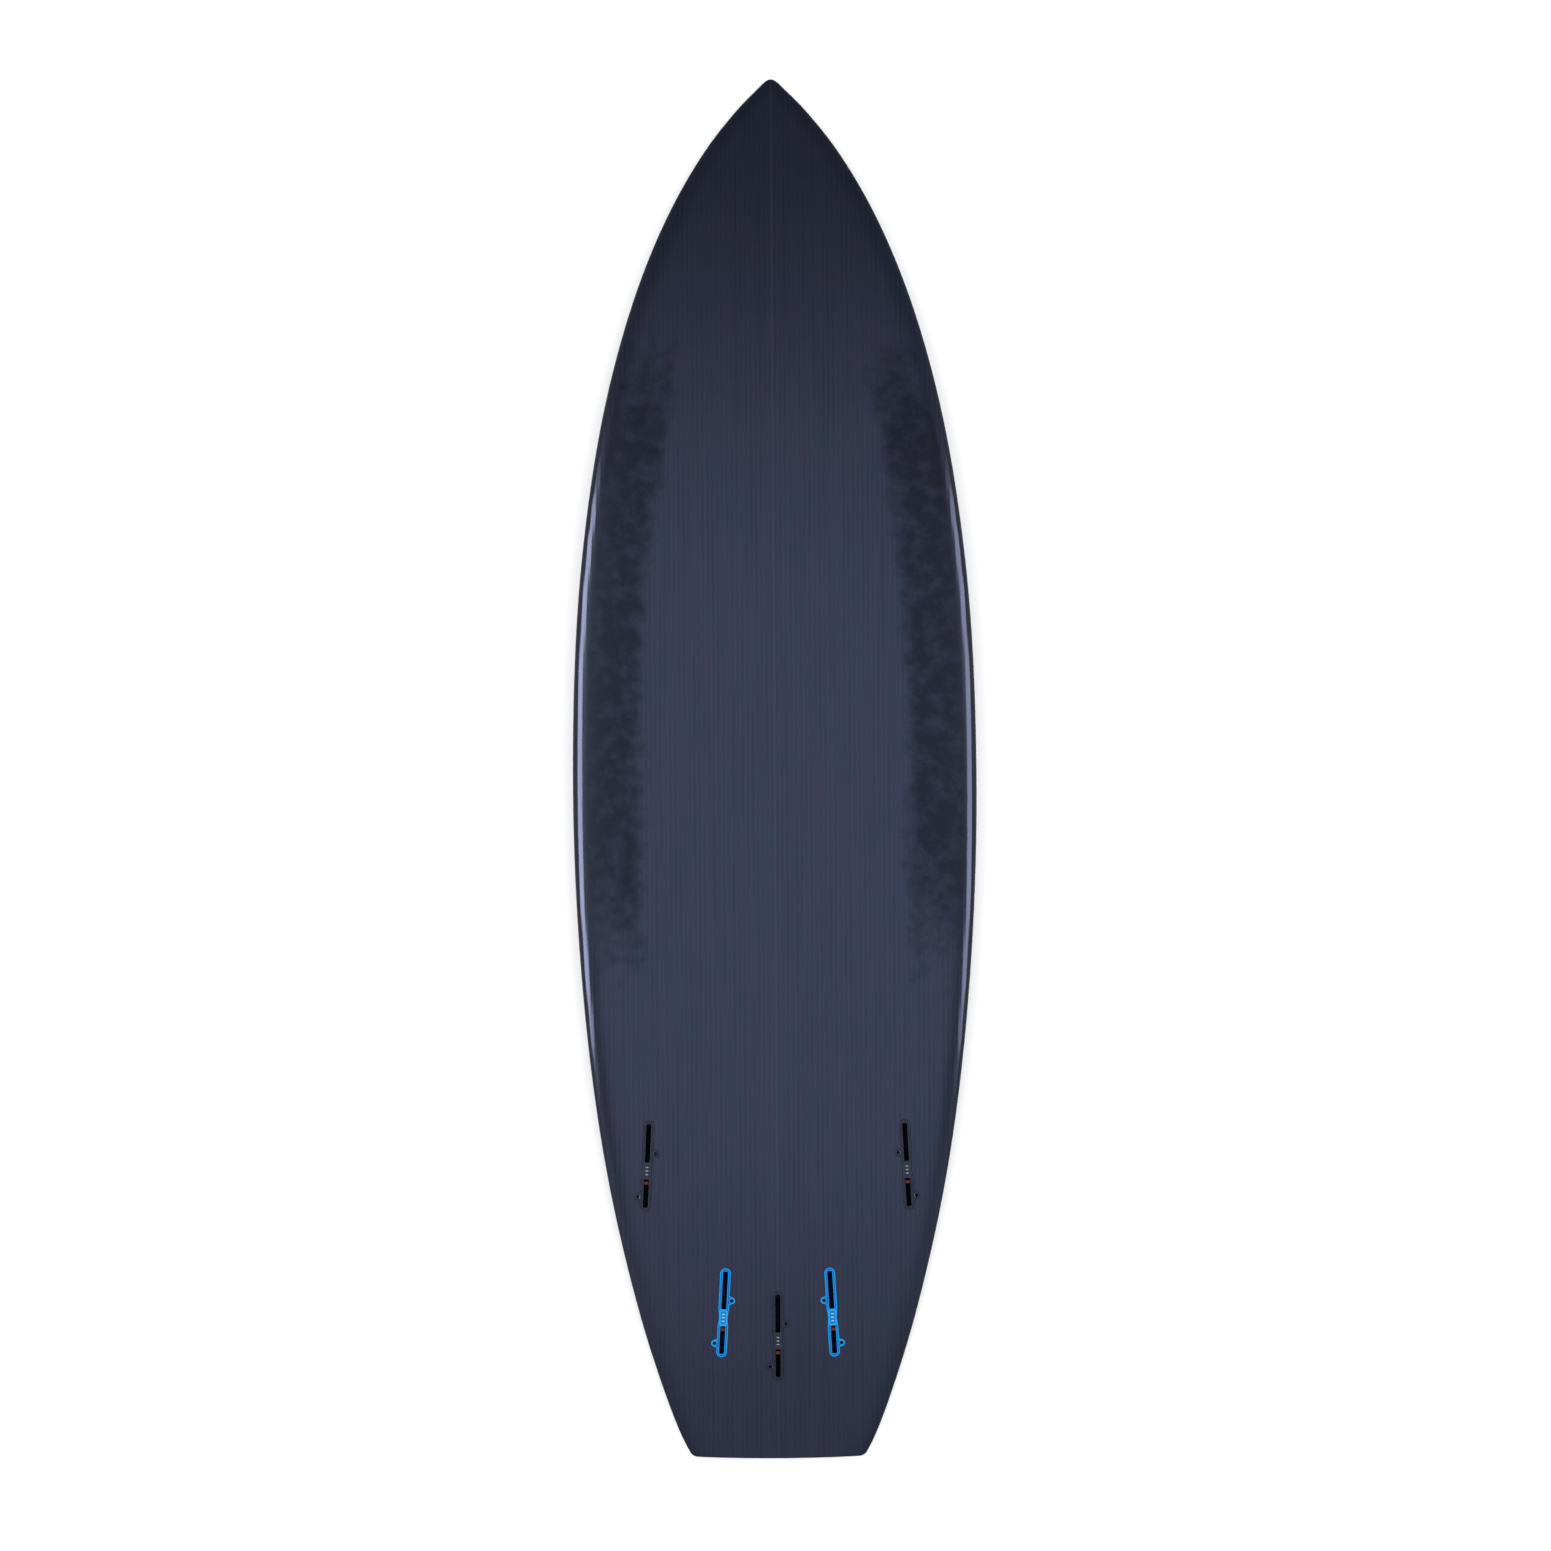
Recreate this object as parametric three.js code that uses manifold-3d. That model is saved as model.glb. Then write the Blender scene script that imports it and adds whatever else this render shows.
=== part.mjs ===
// A shortboard surfboard with five fin boxes, for three or four fins, and a leash cup.
//
// Millimetres. The board lies deck down: +X is across it, +Y runs to the nose and +Z comes
// out of the bottom. The origin is under the middle of its length, on the surface that the
// nose tip and the tail rest on. Stations are distances from the tail end.

import * as THREE from 'three';
import { mergeVertices } from 'three/addons/utils/BufferGeometryUtils.js';
import Module from 'manifold-3d';

const wasm = await Module();
wasm.setup();

// ---------------------------------------------------------------- driving dimensions

const LENGTH = 1778;                 // 5 ft 10 in
const NOSE_ROCKER = 127;
const NOSE_CURVE = 2.6;              // power by which the rocker grows from the wide point
const TAIL_ROCKER = 61;
const TAIL_CURVE = 2.2;
const WIDE_POINT = LENGTH / 2;
const TAIL_CORNER = 6;               // radius that rounds the square tail's corners
const TAIL_BOW = 2.5;                // how far the tail's middle stands behind its corners
const TAIL_BOW_REACH = 60;           // and how far along the board that is felt
const END_EDGE = 4;                  // radius of the deck's edge at the nose and tail
const GAP = 0.3;                     // between pieces that touch
const SKIN = 1.8;                    // glass and resin laminate
const TAIL_WALL = 9;                 // solid laminate behind the core
const NOSE_WALL = 16;                // and ahead of it
const STRINGER = 4;

// The outline: [station, half width].
const TEMPLATE = [
  [0, 111], [25, 123], [80, 144], [190, 178], [380, 220], [610, 248], [890, 258.4],
  [1170, 244], [1400, 204], [1570, 147], [1680, 88], [1740, 42], [1768, 15], [LENGTH, 5],
];

// The foil: [station, thickness at the stringer].
const FOIL = [
  [0, 16], [100, 31], [305, 43], [600, 58], [WIDE_POINT, 63.5], [1200, 57], [1473, 38],
  [1680, 20], [LENGTH, 12],
];

// The bottom: [station, depth], of one wide hollow forward and of two beside a spine aft.
const SINGLE_CONCAVE = [[0, 0], [500, 0.5], [900, 3], [1250, 1.5], [1500, 0], [LENGTH, 0]];
const DOUBLE_CONCAVE = [[0, 0], [120, 0.8], [400, 3], [700, 2], [1000, 0], [LENGTH, 0]];
const CONCAVE_SPAN = 0.86;           // of the half width

// The rails: where their edge is, as a share of the thickness down from the bottom, and the
// powers of the curves that run from it to the bottom and to the deck. The bottom meets a tail
// rail at a hard edge and a nose rail softly.
const APEX = { tail: 0.32, nose: 0.5 };
const BOTTOM_POWER = { tail: 14, nose: 5 };
const DECK_POWER = 3;
const RAIL_CROWDING = 0.6;           // draws the rings' points out towards the rails

const BOX = {                        // a fin box: its top lies flush in the bottom
  length: 117, width: 14, waist: 11.7, depth: 21, wall: 4.5,
  slotWidth: 6.6, slotCorner: 1.2, slotDepth: 15, frontSlot: 49.5, bridge: 22, rearSlot: 36.5,
  ledge: 3.5, ledgeDepth: 3,         // the step at the front slot's front end
  earOffset: 9.6, earRadius: 4.6, earSpread: 8.8, frontEar: 42.4, rearEar: 18,
};
const FRONT_EAR_Y = BOX.length / 2 - BOX.frontEar;
const REAR_EAR_Y = BOX.rearEar - BOX.length / 2;

const SCREW = {                      // each leans outwards at its top by the tilt
  radius: 2.1, length: 7, recess: 2, tilt: 30, socketRadius: 1.4, socketDepth: 3, holeDepth: 14,
};
const SCREW_HOLE_RADIUS = SCREW.radius + GAP;

const ROLLER = { radius: 2.5, bore: 1.3, length: 6, depth: 6, inset: 5.5, pinRadius: 1, pinLength: 11 };
const ROLLER_Y = BOX.length / 2 - BOX.wall - BOX.frontSlot - BOX.bridge - ROLLER.inset;

const CUP = {
  station: 70, radius: 14, depth: 17, flange: 16.5, flangeDepth: 1.5, cavity: 11.5, floor: 3, bevel: 3,
  barRadius: 2, barDepth: 4.5,
};

const SIDE_BOX_STATION = 380.5;
const QUAD_BOX_STATION = 190;
const CENTRE_BOX_STATION = 159.5;

const BOXES = [
  { name: 'left', x: -166.5, station: SIDE_BOX_STATION, toe: -3, side: 1, colour: 'black' },
  { name: 'right', x: 166.5, station: SIDE_BOX_STATION, toe: 3, side: -1, colour: 'black' },
  { name: 'quad_left', x: -69.8, station: QUAD_BOX_STATION, toe: -3.3, side: 1, colour: 'blue' },
  { name: 'quad_right', x: 69.8, station: QUAD_BOX_STATION, toe: 3.3, side: -1, colour: 'blue' },
  { name: 'centre', x: 0, station: CENTRE_BOX_STATION, toe: 0, side: 1, colour: 'black' },
];

const RING_SEGMENTS = 20;
const LENGTH_SEGMENTS = 26;
const ROUND = 12;                    // sides of a small round part
const REACH = 400;                   // past the board, for cutting blocks
const PROUD = 10;                    // how far cutting solids stand out of the surface

// ---------------------------------------------------------------- the board's shape

// A smooth curve through points of rising x. Its slope at a point is the mean of its neighbours'.
function curve(points) {
  const last = points.length - 1;
  const rise = (i) => (points[i + 1][1] - points[i][1]) / (points[i + 1][0] - points[i][0]);
  const slope = (i) => {
    if (i === 0) return rise(0);
    if (i === last) return rise(last - 1);
    return (rise(i - 1) + rise(i)) / 2;
  };
  return (x) => {
    let i = 0;
    while (i < last - 1 && x > points[i + 1][0]) i += 1;
    const step = points[i + 1][0] - points[i][0];
    const t = THREE.MathUtils.clamp((x - points[i][0]) / step, 0, 1);
    const before = (1 + 2 * t) * points[i][1] + t * step * slope(i);
    const after = (3 - 2 * t) * points[i + 1][1] + (t - 1) * step * slope(i + 1);
    return (1 - t) ** 2 * before + t ** 2 * after;
  };
}

const template = curve(TEMPLATE);
const foil = curve(FOIL);
const singleConcave = curve(SINGLE_CONCAVE);
const doubleConcave = curve(DOUBLE_CONCAVE);

// What a rounded edge of some radius takes off, at a distance from the end.
function rounding(distance, radius) {
  const inside = THREE.MathUtils.clamp(radius - distance, 0, radius);
  return radius - Math.sqrt(radius ** 2 - inside ** 2);
}

function halfWidth(station) {
  const tail = rounding(station, TAIL_CORNER);
  const nose = rounding(LENGTH - station, END_EDGE);
  return template(station) - tail - nose;
}

function thickness(station) {
  return foil(station) - 2 * rounding(Math.min(station, LENGTH - station), END_EDGE);
}

// The bottom's height along the stringer, where both ends of the board rest on the floor.
function rocker(station) {
  const past = station - WIDE_POINT;
  if (past > 0) return -NOSE_ROCKER * (past / (LENGTH - WIDE_POINT)) ** NOSE_CURVE;
  return -TAIL_ROCKER * (-past / WIDE_POINT) ** TAIL_CURVE;
}

function chord(station) {
  const tail = -TAIL_ROCKER - foil(0);
  const nose = -NOSE_ROCKER - foil(LENGTH);
  return THREE.MathUtils.lerp(tail, nose, station / LENGTH);
}

const STATIONS = Array.from({ length: LENGTH_SEGMENTS + 1 }, (_, i) => stationAt(i / LENGTH_SEGMENTS));
const LOWEST = Math.min(...STATIONS.map((s) => rocker(s) - chord(s) - thickness(s)));

// Stations crowd towards both ends. share runs from 0 at the tail to 1 at the nose.
function stationAt(share) {
  return LENGTH * (1 - Math.cos(Math.PI * share)) / 2;
}

function bottomLine(station) {
  return rocker(station) - chord(station) - LOWEST;
}

// How far down from the bottom the rail's edge sits, as a share of the thickness.
function apexShare(station) {
  return THREE.MathUtils.lerp(APEX.tail, APEX.nose, (station / LENGTH) ** 2);
}

function apexHeight(station) {
  return bottomLine(station) - apexShare(station) * thickness(station);
}

// The hollows of the bottom, at a share of the half width.
function concave(share, station) {
  const across = Math.min(Math.abs(share) / CONCAVE_SPAN, 1);
  const single = singleConcave(station) * (1 - across ** 2) ** 2;
  const double = doubleConcave(station) * Math.sin(Math.PI * across) ** 2;
  return single + double;
}

// Heights of the bottom and the deck at a share of the half width, inset for an inner surface.
function bottomHeight(share, station, inset) {
  const rise = apexShare(station) * thickness(station) - inset;
  const power = THREE.MathUtils.lerp(BOTTOM_POWER.tail, BOTTOM_POWER.nose, (station / LENGTH) ** 3);
  const round = Math.sqrt(Math.max(1 - Math.abs(share) ** power, 0));
  return apexHeight(station) + rise * round - concave(share, station);
}

function deckHeight(share, station, inset) {
  const drop = (1 - apexShare(station)) * thickness(station) - inset;
  const round = Math.sqrt(Math.max(1 - Math.abs(share) ** DECK_POWER, 0));
  return apexHeight(station) - drop * round;
}

// The tail's end bows back a little at its middle.
function lengthwise(share, station) {
  const fade = Math.max(1 - station / TAIL_BOW_REACH, 0);
  return station - LENGTH / 2 + TAIL_BOW * share ** 2 * fade ** 2;
}

// ---------------------------------------------------------------- solids

function toSolid(geometry) {
  const bare = geometry.clone();
  bare.deleteAttribute('normal');
  bare.deleteAttribute('uv');
  const merged = mergeVertices(bare, 1e-4);
  const vertProperties = new Float32Array(merged.attributes.position.array);
  const triVerts = new Uint32Array(merged.index.array);
  return new wasm.Manifold(new wasm.Mesh({ numProp: 3, vertProperties, triVerts }));
}

function toGeometry(solid) {
  const { vertProperties, triVerts } = solid.getMesh();
  const geometry = new THREE.BufferGeometry();
  geometry.setAttribute('position', new THREE.BufferAttribute(vertProperties, 3));
  geometry.setIndex(new THREE.BufferAttribute(triVerts, 1));
  geometry.computeVertexNormals();
  return geometry;
}

function join(solids) {
  return solids.reduce((whole, solid) => whole.add(solid));
}

// A flat outline made a prism between two heights.
function prism(shape, low, high, curveSegments = ROUND) {
  const depth = high - low;
  const geometry = new THREE.ExtrudeGeometry(shape, { depth, bevelEnabled: false, curveSegments });
  return toSolid(geometry.translate(0, 0, low));
}

function block(x, y, z, width, length, height) {
  return toSolid(new THREE.BoxGeometry(width, length, height).translate(x, y, z));
}

// A cylinder along +Z between two heights.
function rod(radius, low, high) {
  const geometry = new THREE.CylinderGeometry(radius, radius, high - low, ROUND);
  return toSolid(geometry.rotateX(Math.PI / 2).translate(0, 0, (low + high) / 2));
}

// Turns a profile of [radius, height] about the Z axis.
function lathe(profile, segments = 2 * ROUND) {
  const points = profile.map(([radius, height]) => new THREE.Vector2(radius, height));
  return toSolid(new THREE.LatheGeometry(points, segments).rotateX(Math.PI / 2));
}

// Puts each vertex of a geometry where a function says.
function reshape(geometry, place) {
  const position = geometry.attributes.position;
  for (let i = 0; i < position.count; i += 1) {
    const to = place(position.getX(i), position.getY(i), position.getZ(i));
    position.setXYZ(i, ...to);
  }
  return geometry;
}

// The board's outer surface, or one lying inside it by the inset. A drum is drawn out into
// the shape: its height becomes the length, and its round side the bottom, rails and deck.
function hull(inset) {
  const drum = new THREE.CylinderGeometry(1, 1, 1, RING_SEGMENTS, LENGTH_SEGMENTS);
  const inner = inset > 0;
  const tailEnd = inner ? TAIL_WALL + inset - SKIN : 0;
  const noseEnd = inner ? LENGTH - NOSE_WALL - inset + SKIN : LENGTH;
  return toSolid(reshape(drum, (x, y, z) => {
    const onRing = Math.hypot(x, z) > 0.5;
    const station = THREE.MathUtils.lerp(tailEnd, noseEnd, stationAt(y + 0.5) / LENGTH);
    const share = onRing ? Math.sign(x) * Math.min(Math.abs(x) ** RAIL_CROWDING, 1) : 0;
    const width = halfWidth(station) - inset;
    if (!onRing) return [0, lengthwise(0, station), apexHeight(station)];
    const height = z > 0 ? bottomHeight(share, station, inset) : deckHeight(share, station, inset);
    return [share * width, lengthwise(share, station), height];
  }));
}

// Everything above or below the line where the two skins meet at the rails.
function beyondRailLine(side) {
  const slab = new THREE.BoxGeometry(2 * REACH, 1, 1, 1, LENGTH_SEGMENTS, 1);
  return toSolid(reshape(slab, (x, y, z) => {
    const station = stationAt(y + 0.5);
    const overrun = Math.abs(y) > 0.499 ? Math.sign(y) * REACH : 0;
    const onLine = apexHeight(station) + side * GAP / 2;
    const height = z * side > 0 ? side * REACH : onLine;
    return [x, station - LENGTH / 2 + overrun, height];
  }));
}

// ---------------------------------------------------------------- fin boxes

// A bar with rounded corners, as the fin tabs' slots are.
function slotOutline(length, width, corner) {
  const x = width / 2 - corner;
  const y = length / 2 - corner;
  const shape = new THREE.Shape();
  shape.absarc(x, y, corner, 0, Math.PI / 2);
  shape.absarc(-x, y, corner, Math.PI / 2, Math.PI);
  shape.absarc(-x, -y, corner, Math.PI, 1.5 * Math.PI);
  shape.absarc(x, -y, corner, 1.5 * Math.PI, 2 * Math.PI);
  return shape;
}

// The box's outline from above, narrow at the bridge between its slots, grown all round.
function boxOutline(grow) {
  const radius = BOX.width / 2 + grow;
  const end = BOX.length / 2 + grow - radius;
  const bridgeFront = BOX.length / 2 - BOX.wall - BOX.frontSlot;
  const bridgeRear = bridgeFront - BOX.bridge;
  const middle = (bridgeFront + bridgeRear) / 2;
  const pull = radius - (BOX.width - BOX.waist);
  const shape = new THREE.Shape();
  shape.absarc(0, end, radius, 0, Math.PI);
  shape.lineTo(-radius, bridgeFront);
  shape.quadraticCurveTo(-pull, middle, -radius, bridgeRear);
  shape.absarc(0, -end, radius, Math.PI, 2 * Math.PI);
  shape.lineTo(radius, bridgeRear);
  shape.quadraticCurveTo(pull, middle, radius, bridgeFront);
  return shape;
}

// A rounded ear on the box's side, drawn with straight tangents from the side to a round tip.
function earOutline(grow) {
  const radius = BOX.earRadius + grow;
  const spread = BOX.earSpread + grow;
  const far = BOX.earOffset;
  const lean = Math.atan2(spread, far) - Math.asin(radius / Math.hypot(far, spread));
  const tangent = Math.PI / 2 - lean;
  const shape = new THREE.Shape();
  shape.moveTo(0, spread);
  shape.lineTo(0, -spread);
  shape.absarc(far, 0, radius, -tangent, tangent);
  return shape;
}

// The solid of a box, or of the pocket that it sits in when grown.
function boxBlank(side, grow, top) {
  const low = -BOX.depth - grow;
  const ear = prism(earOutline(grow), low, top, ROUND / 2);
  const front = side > 0 ? ear : ear.rotate([0, 0, 180]);
  const rear = side > 0 ? ear.rotate([0, 0, 180]) : ear;
  return join([
    prism(boxOutline(grow), low, top, ROUND / 2),
    front.translate([0, FRONT_EAR_Y, 0]),
    rear.translate([0, REAR_EAR_Y, 0]),
  ]);
}

// Where a set screw's axis meets the box's top, and which way it leans outwards.
function screwPlaces(side) {
  return [
    { name: 'front', y: FRONT_EAR_Y, lean: side },
    { name: 'rear', y: REAR_EAR_Y, lean: -side },
  ];
}

function alongScrew(solid, place) {
  return solid.rotate([0, place.lean * SCREW.tilt, 0]).translate([place.lean * BOX.earOffset, place.y, 0]);
}

function boxCuts(side) {
  const half = BOX.length / 2;
  const frontEnd = half - BOX.wall;
  const deepLength = BOX.frontSlot - BOX.ledge;
  const slot = (length, centre, depth) => {
    const outline = slotOutline(length, BOX.slotWidth, BOX.slotCorner);
    return prism(outline, -depth, PROUD, 2).translate([0, centre, 0]);
  };
  const hole = rod(SCREW_HOLE_RADIUS, -SCREW.holeDepth, PROUD);
  const holes = screwPlaces(side).map((place) => alongScrew(hole, place));
  const pinBore = rod(ROLLER.pinRadius + GAP, -ROLLER.pinLength / 2 - GAP, ROLLER.pinLength / 2 + GAP);
  return join([
    slot(BOX.frontSlot, frontEnd - BOX.frontSlot / 2, BOX.ledgeDepth),
    slot(deepLength, frontEnd - BOX.ledge - deepLength / 2, BOX.slotDepth),
    slot(BOX.rearSlot, frontEnd - BOX.frontSlot - BOX.bridge - BOX.rearSlot / 2, BOX.slotDepth),
    pinBore.rotate([0, 90, 0]).translate([0, ROLLER_Y, -ROLLER.depth]),
    ...holes,
  ]);
}

function setScrew() {
  const top = -SCREW.recess;
  const socket = new THREE.CylinderGeometry(SCREW.socketRadius, SCREW.socketRadius, SCREW.socketDepth, 6);
  const drive = toSolid(socket.rotateX(Math.PI / 2).translate(0, 0, top - SCREW.socketDepth / 2 + 0.01));
  return rod(SCREW.radius, top - SCREW.length, top).subtract(drive);
}

function roller() {
  const half = ROLLER.length / 2;
  const sleeve = lathe([
    [ROLLER.bore, -half], [ROLLER.radius, -half], [ROLLER.radius, half], [ROLLER.bore, half],
    [ROLLER.bore, -half],
  ], ROUND);
  return sleeve.rotate([0, 90, 0]).translate([0, ROLLER_Y, -ROLLER.depth]);
}

function rollerPin() {
  const half = ROLLER.pinLength / 2;
  return rod(ROLLER.pinRadius, -half, half).rotate([0, 90, 0]).translate([0, ROLLER_Y, -ROLLER.depth]);
}

// How a box is turned: nose up or down with the rocker, then toed towards the stringer.
function boxTurn({ x, station, toe }) {
  const share = x / halfWidth(station);
  const reach = BOX.length / 4;
  const rise = bottomHeight(share, station + reach, 0) - bottomHeight(share, station - reach, 0);
  const pitch = THREE.MathUtils.radToDeg(Math.atan2(rise, 2 * reach));
  return { height: bottomHeight(share, station, 0), pitch, toe };
}

function setInBoard(solid, spec) {
  const { height, pitch, toe } = boxTurn(spec);
  const turned = solid.rotate([pitch, 0, 0]).rotate([0, 0, toe]);
  return turned.translate([spec.x, spec.station - LENGTH / 2, height]);
}

// ---------------------------------------------------------------- leash cup

function cupOuter(grow) {
  return lathe([
    [0, -PROUD], [CUP.flange + grow, -PROUD], [CUP.flange + grow, CUP.flangeDepth + grow],
    [CUP.radius + grow, CUP.flangeDepth + grow], [CUP.radius + grow, CUP.depth + grow],
    [0, CUP.depth + grow],
  ]);
}

function cupCavity() {
  const floor = CUP.depth - CUP.floor;
  return lathe([
    [0, -2 * PROUD], [CUP.cavity, -2 * PROUD], [CUP.cavity, floor - CUP.bevel],
    [CUP.cavity - CUP.bevel, floor], [0, floor],
  ]);
}

function cupBar(grow) {
  const half = CUP.radius - 1 + grow;
  return rod(CUP.barRadius + grow, -half, half).rotate([0, 90, 0]).translate([0, 0, CUP.barDepth]);
}

// The cup opens towards the deck, so its depth runs up from the deck's surface.
function setInDeck(solid) {
  const reach = CUP.radius;
  const rise = deckHeight(0, CUP.station + reach, 0) - deckHeight(0, CUP.station - reach, 0);
  const pitch = THREE.MathUtils.radToDeg(Math.atan2(rise, 2 * reach));
  const height = deckHeight(0, CUP.station, 0);
  return solid.rotate([pitch, 0, 0]).translate([0, CUP.station - LENGTH / 2, height]);
}

// ---------------------------------------------------------------- assembly

const COLOURS = {
  laminate: { color: 0x282c3c, roughness: 0.35, metalness: 0 },
  foam: { color: 0xe9e6dc, roughness: 0.9, metalness: 0 },
  wood: { color: 0xb98f5f, roughness: 0.8, metalness: 0 },
  black: { color: 0x121316, roughness: 0.5, metalness: 0 },
  blue: { color: 0x1488d8, roughness: 0.45, metalness: 0 },
  steel: { color: 0x9a9da1, roughness: 0.35, metalness: 1 },
  rubber: { color: 0xc8401c, roughness: 0.7, metalness: 0 },
};

const board = new THREE.Group();

function addPart(name, solid, finish) {
  const material = new THREE.MeshStandardMaterial(COLOURS[finish]);
  const mesh = new THREE.Mesh(toGeometry(solid), material);
  mesh.name = name;
  board.add(mesh);
}

const outside = hull(0);
const shell = outside.subtract(hull(SKIN));
const core = hull(SKIN + GAP);
const pockets = join(BOXES.map((spec) => setInBoard(boxBlank(spec.side, GAP, PROUD), spec)));
const cupPocket = setInDeck(cupOuter(GAP));
const hollows = pockets.add(cupPocket);
const hollowCore = core.subtract(hollows);
const middle = block(0, 0, 0, STRINGER, 2 * REACH * 3, 2 * REACH);
const offSide = STRINGER / 2 + GAP + REACH;

addPart('bottom_skin', shell.intersect(beyondRailLine(1)).subtract(pockets), 'laminate');
addPart('deck_skin', shell.intersect(beyondRailLine(-1)).subtract(cupPocket), 'laminate');
addPart('stringer', hollowCore.intersect(middle), 'wood');
for (const [name, way] of [['left', -1], ['right', 1]]) {
  const half = block(way * offSide, 0, 0, 2 * REACH, 2 * REACH * 3, 2 * REACH);
  addPart(`foam_core_${name}`, hollowCore.intersect(half), 'foam');
}

for (const spec of BOXES) {
  const body = setInBoard(boxBlank(spec.side, 0, PROUD).subtract(boxCuts(spec.side)), spec);
  addPart(`fin_box_${spec.name}`, body.intersect(outside), spec.colour);
  addPart(`roller_${spec.name}`, setInBoard(roller(), spec), 'rubber');
  addPart(`roller_pin_${spec.name}`, setInBoard(rollerPin(), spec), 'steel');
  for (const place of screwPlaces(spec.side)) {
    const screw = setInBoard(alongScrew(setScrew(), place), spec);
    addPart(`set_screw_${spec.name}_${place.name}`, screw, 'steel');
  }
}

const cup = cupOuter(0).subtract(cupCavity()).subtract(cupBar(GAP));
addPart('leash_cup', setInDeck(cup).intersect(outside), 'black');
addPart('leash_bar', setInDeck(cupBar(0)), 'steel');

export default board;
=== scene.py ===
"""A shortboard that lies deck down in a studio: its skins, core, fin boxes and leash cup.

Metres. +X is across the board, +Y runs to the nose and +Z comes out of the bottom. A station
is a distance from the tail end. Fin boxes and screws are made in a frame of their own, with
the top of the box at height zero, and are then turned and set into the board.
"""
import logging
import math
from dataclasses import dataclass, field
from enum import Enum
from functools import lru_cache

import bmesh
import bpy
from bmesh.types import BMEdge, BMesh, BMFace, BMVert
from bpy.types import Material, Node, NodeFrame, Object
from mathutils import Euler, Matrix, Vector


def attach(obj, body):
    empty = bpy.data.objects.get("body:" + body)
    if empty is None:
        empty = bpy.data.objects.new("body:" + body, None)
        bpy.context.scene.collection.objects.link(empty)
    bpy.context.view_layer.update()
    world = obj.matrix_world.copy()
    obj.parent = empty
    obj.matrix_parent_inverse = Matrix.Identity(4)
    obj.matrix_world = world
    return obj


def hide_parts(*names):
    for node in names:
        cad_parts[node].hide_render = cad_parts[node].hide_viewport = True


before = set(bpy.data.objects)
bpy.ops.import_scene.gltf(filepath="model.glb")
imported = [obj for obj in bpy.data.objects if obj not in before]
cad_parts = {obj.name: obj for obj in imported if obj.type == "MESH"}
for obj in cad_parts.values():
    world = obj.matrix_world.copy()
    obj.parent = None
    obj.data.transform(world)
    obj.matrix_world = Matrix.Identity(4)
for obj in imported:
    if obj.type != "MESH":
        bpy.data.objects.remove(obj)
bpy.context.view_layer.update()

LOG = logging.getLogger("shortboard")

STATIC_BODY = "board"                # every piece that doesn't move rides on it
GAP = 0.0003                         # between pieces that touch
COLUMN = 240.0                       # spacing of nodes in a material's layout
ROW = 420.0
SAME_PLACE = 1e-6                    # vertices closer than this are one
NEAR_POLE = 1e-4                     # how close to a unit sphere's axis its pole is
FLAT_ANGLE = 0.001                   # a corner that turns less than this is straight
STATION_DIGITS = 7                   # a station's decimals where a height is worked out
MAP_DIGITS = 5                       # and where a skin is mapped
BOTTOM = 1                           # the two sides of the board, by the way that they face
DECK = -1

RGB = tuple[float, float, float]


# ---------------------------------------------------------------- mesh helpers


class Combine(Enum):
    """How one solid changes another."""

    JOIN = "UNION"
    CUT = "DIFFERENCE"


def smooth_step(low: float, high: float, value: float) -> float:
    """Rises smoothly from 0 at low to 1 at high."""
    share = min(max((value - low) / (high - low), 0.0), 1.0)
    return share * share * (3.0 - 2.0 * share)


def make_object(name: str, bm: BMesh) -> Object:
    """Turns a bmesh into an object in the scene, with its faces pointing outwards.

    Args:
        name: The new object's name.
        bm: The mesh so far. It is freed.

    Returns:
        The object, at the origin.
    """
    bmesh.ops.recalc_face_normals(bm, faces=bm.faces)
    mesh = bpy.data.meshes.new(name)
    bm.to_mesh(mesh)
    bm.free()
    piece = bpy.data.objects.new(name, mesh)
    bpy.context.collection.objects.link(piece)
    return piece


def combine(piece: Object, tool: Object, how: Combine, keep_tool: bool = False) -> None:
    """Joins a tool to a piece, or cuts it out of the piece.

    Args:
        piece: The object whose mesh changes.
        tool: The other solid.
        how: Whether it is joined or cut out.
        keep_tool: Whether the tool is needed again.
    """
    modifier = piece.modifiers.new(how.name, "BOOLEAN")
    modifier.operation = how.value
    modifier.solver = "EXACT"
    modifier.object = tool
    graph = bpy.context.evaluated_depsgraph_get()
    made = bpy.data.meshes.new_from_object(piece.evaluated_get(graph))
    before = piece.data
    piece.modifiers.clear()
    piece.data = made
    bpy.data.meshes.remove(before)
    if not keep_tool:
        bpy.data.objects.remove(tool)


def cut_all(piece: Object, tools: list[Object]) -> None:
    """Cuts each of several solids out of a piece, and keeps them for the next piece.

    Args:
        piece: The object whose mesh changes.
        tools: The solids.
    """
    low, high = Vector(piece.bound_box[0]), Vector(piece.bound_box[6])
    for tool in tools:
        start, end = Vector(tool.bound_box[0]), Vector(tool.bound_box[6])
        if all(low[axis] < end[axis] and start[axis] < high[axis] for axis in range(3)):
            combine(piece, tool, Combine.CUT, keep_tool=True)


def dress(piece: Object, material: Material, crease: float = 32.0) -> None:
    """Gives a piece its one material, and smooth shading that breaks at its creases.

    Args:
        piece: The finished piece.
        material: Its finish.
        crease: The angle, in degrees, past which an edge is sharp.
    """
    mesh = piece.data
    mesh.materials.clear()
    mesh.materials.append(material)
    mesh.polygons.foreach_set("material_index", [0] * len(mesh.polygons))
    mesh.shade_smooth()
    mesh.set_sharp_from_angle(angle=math.radians(crease))


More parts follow.
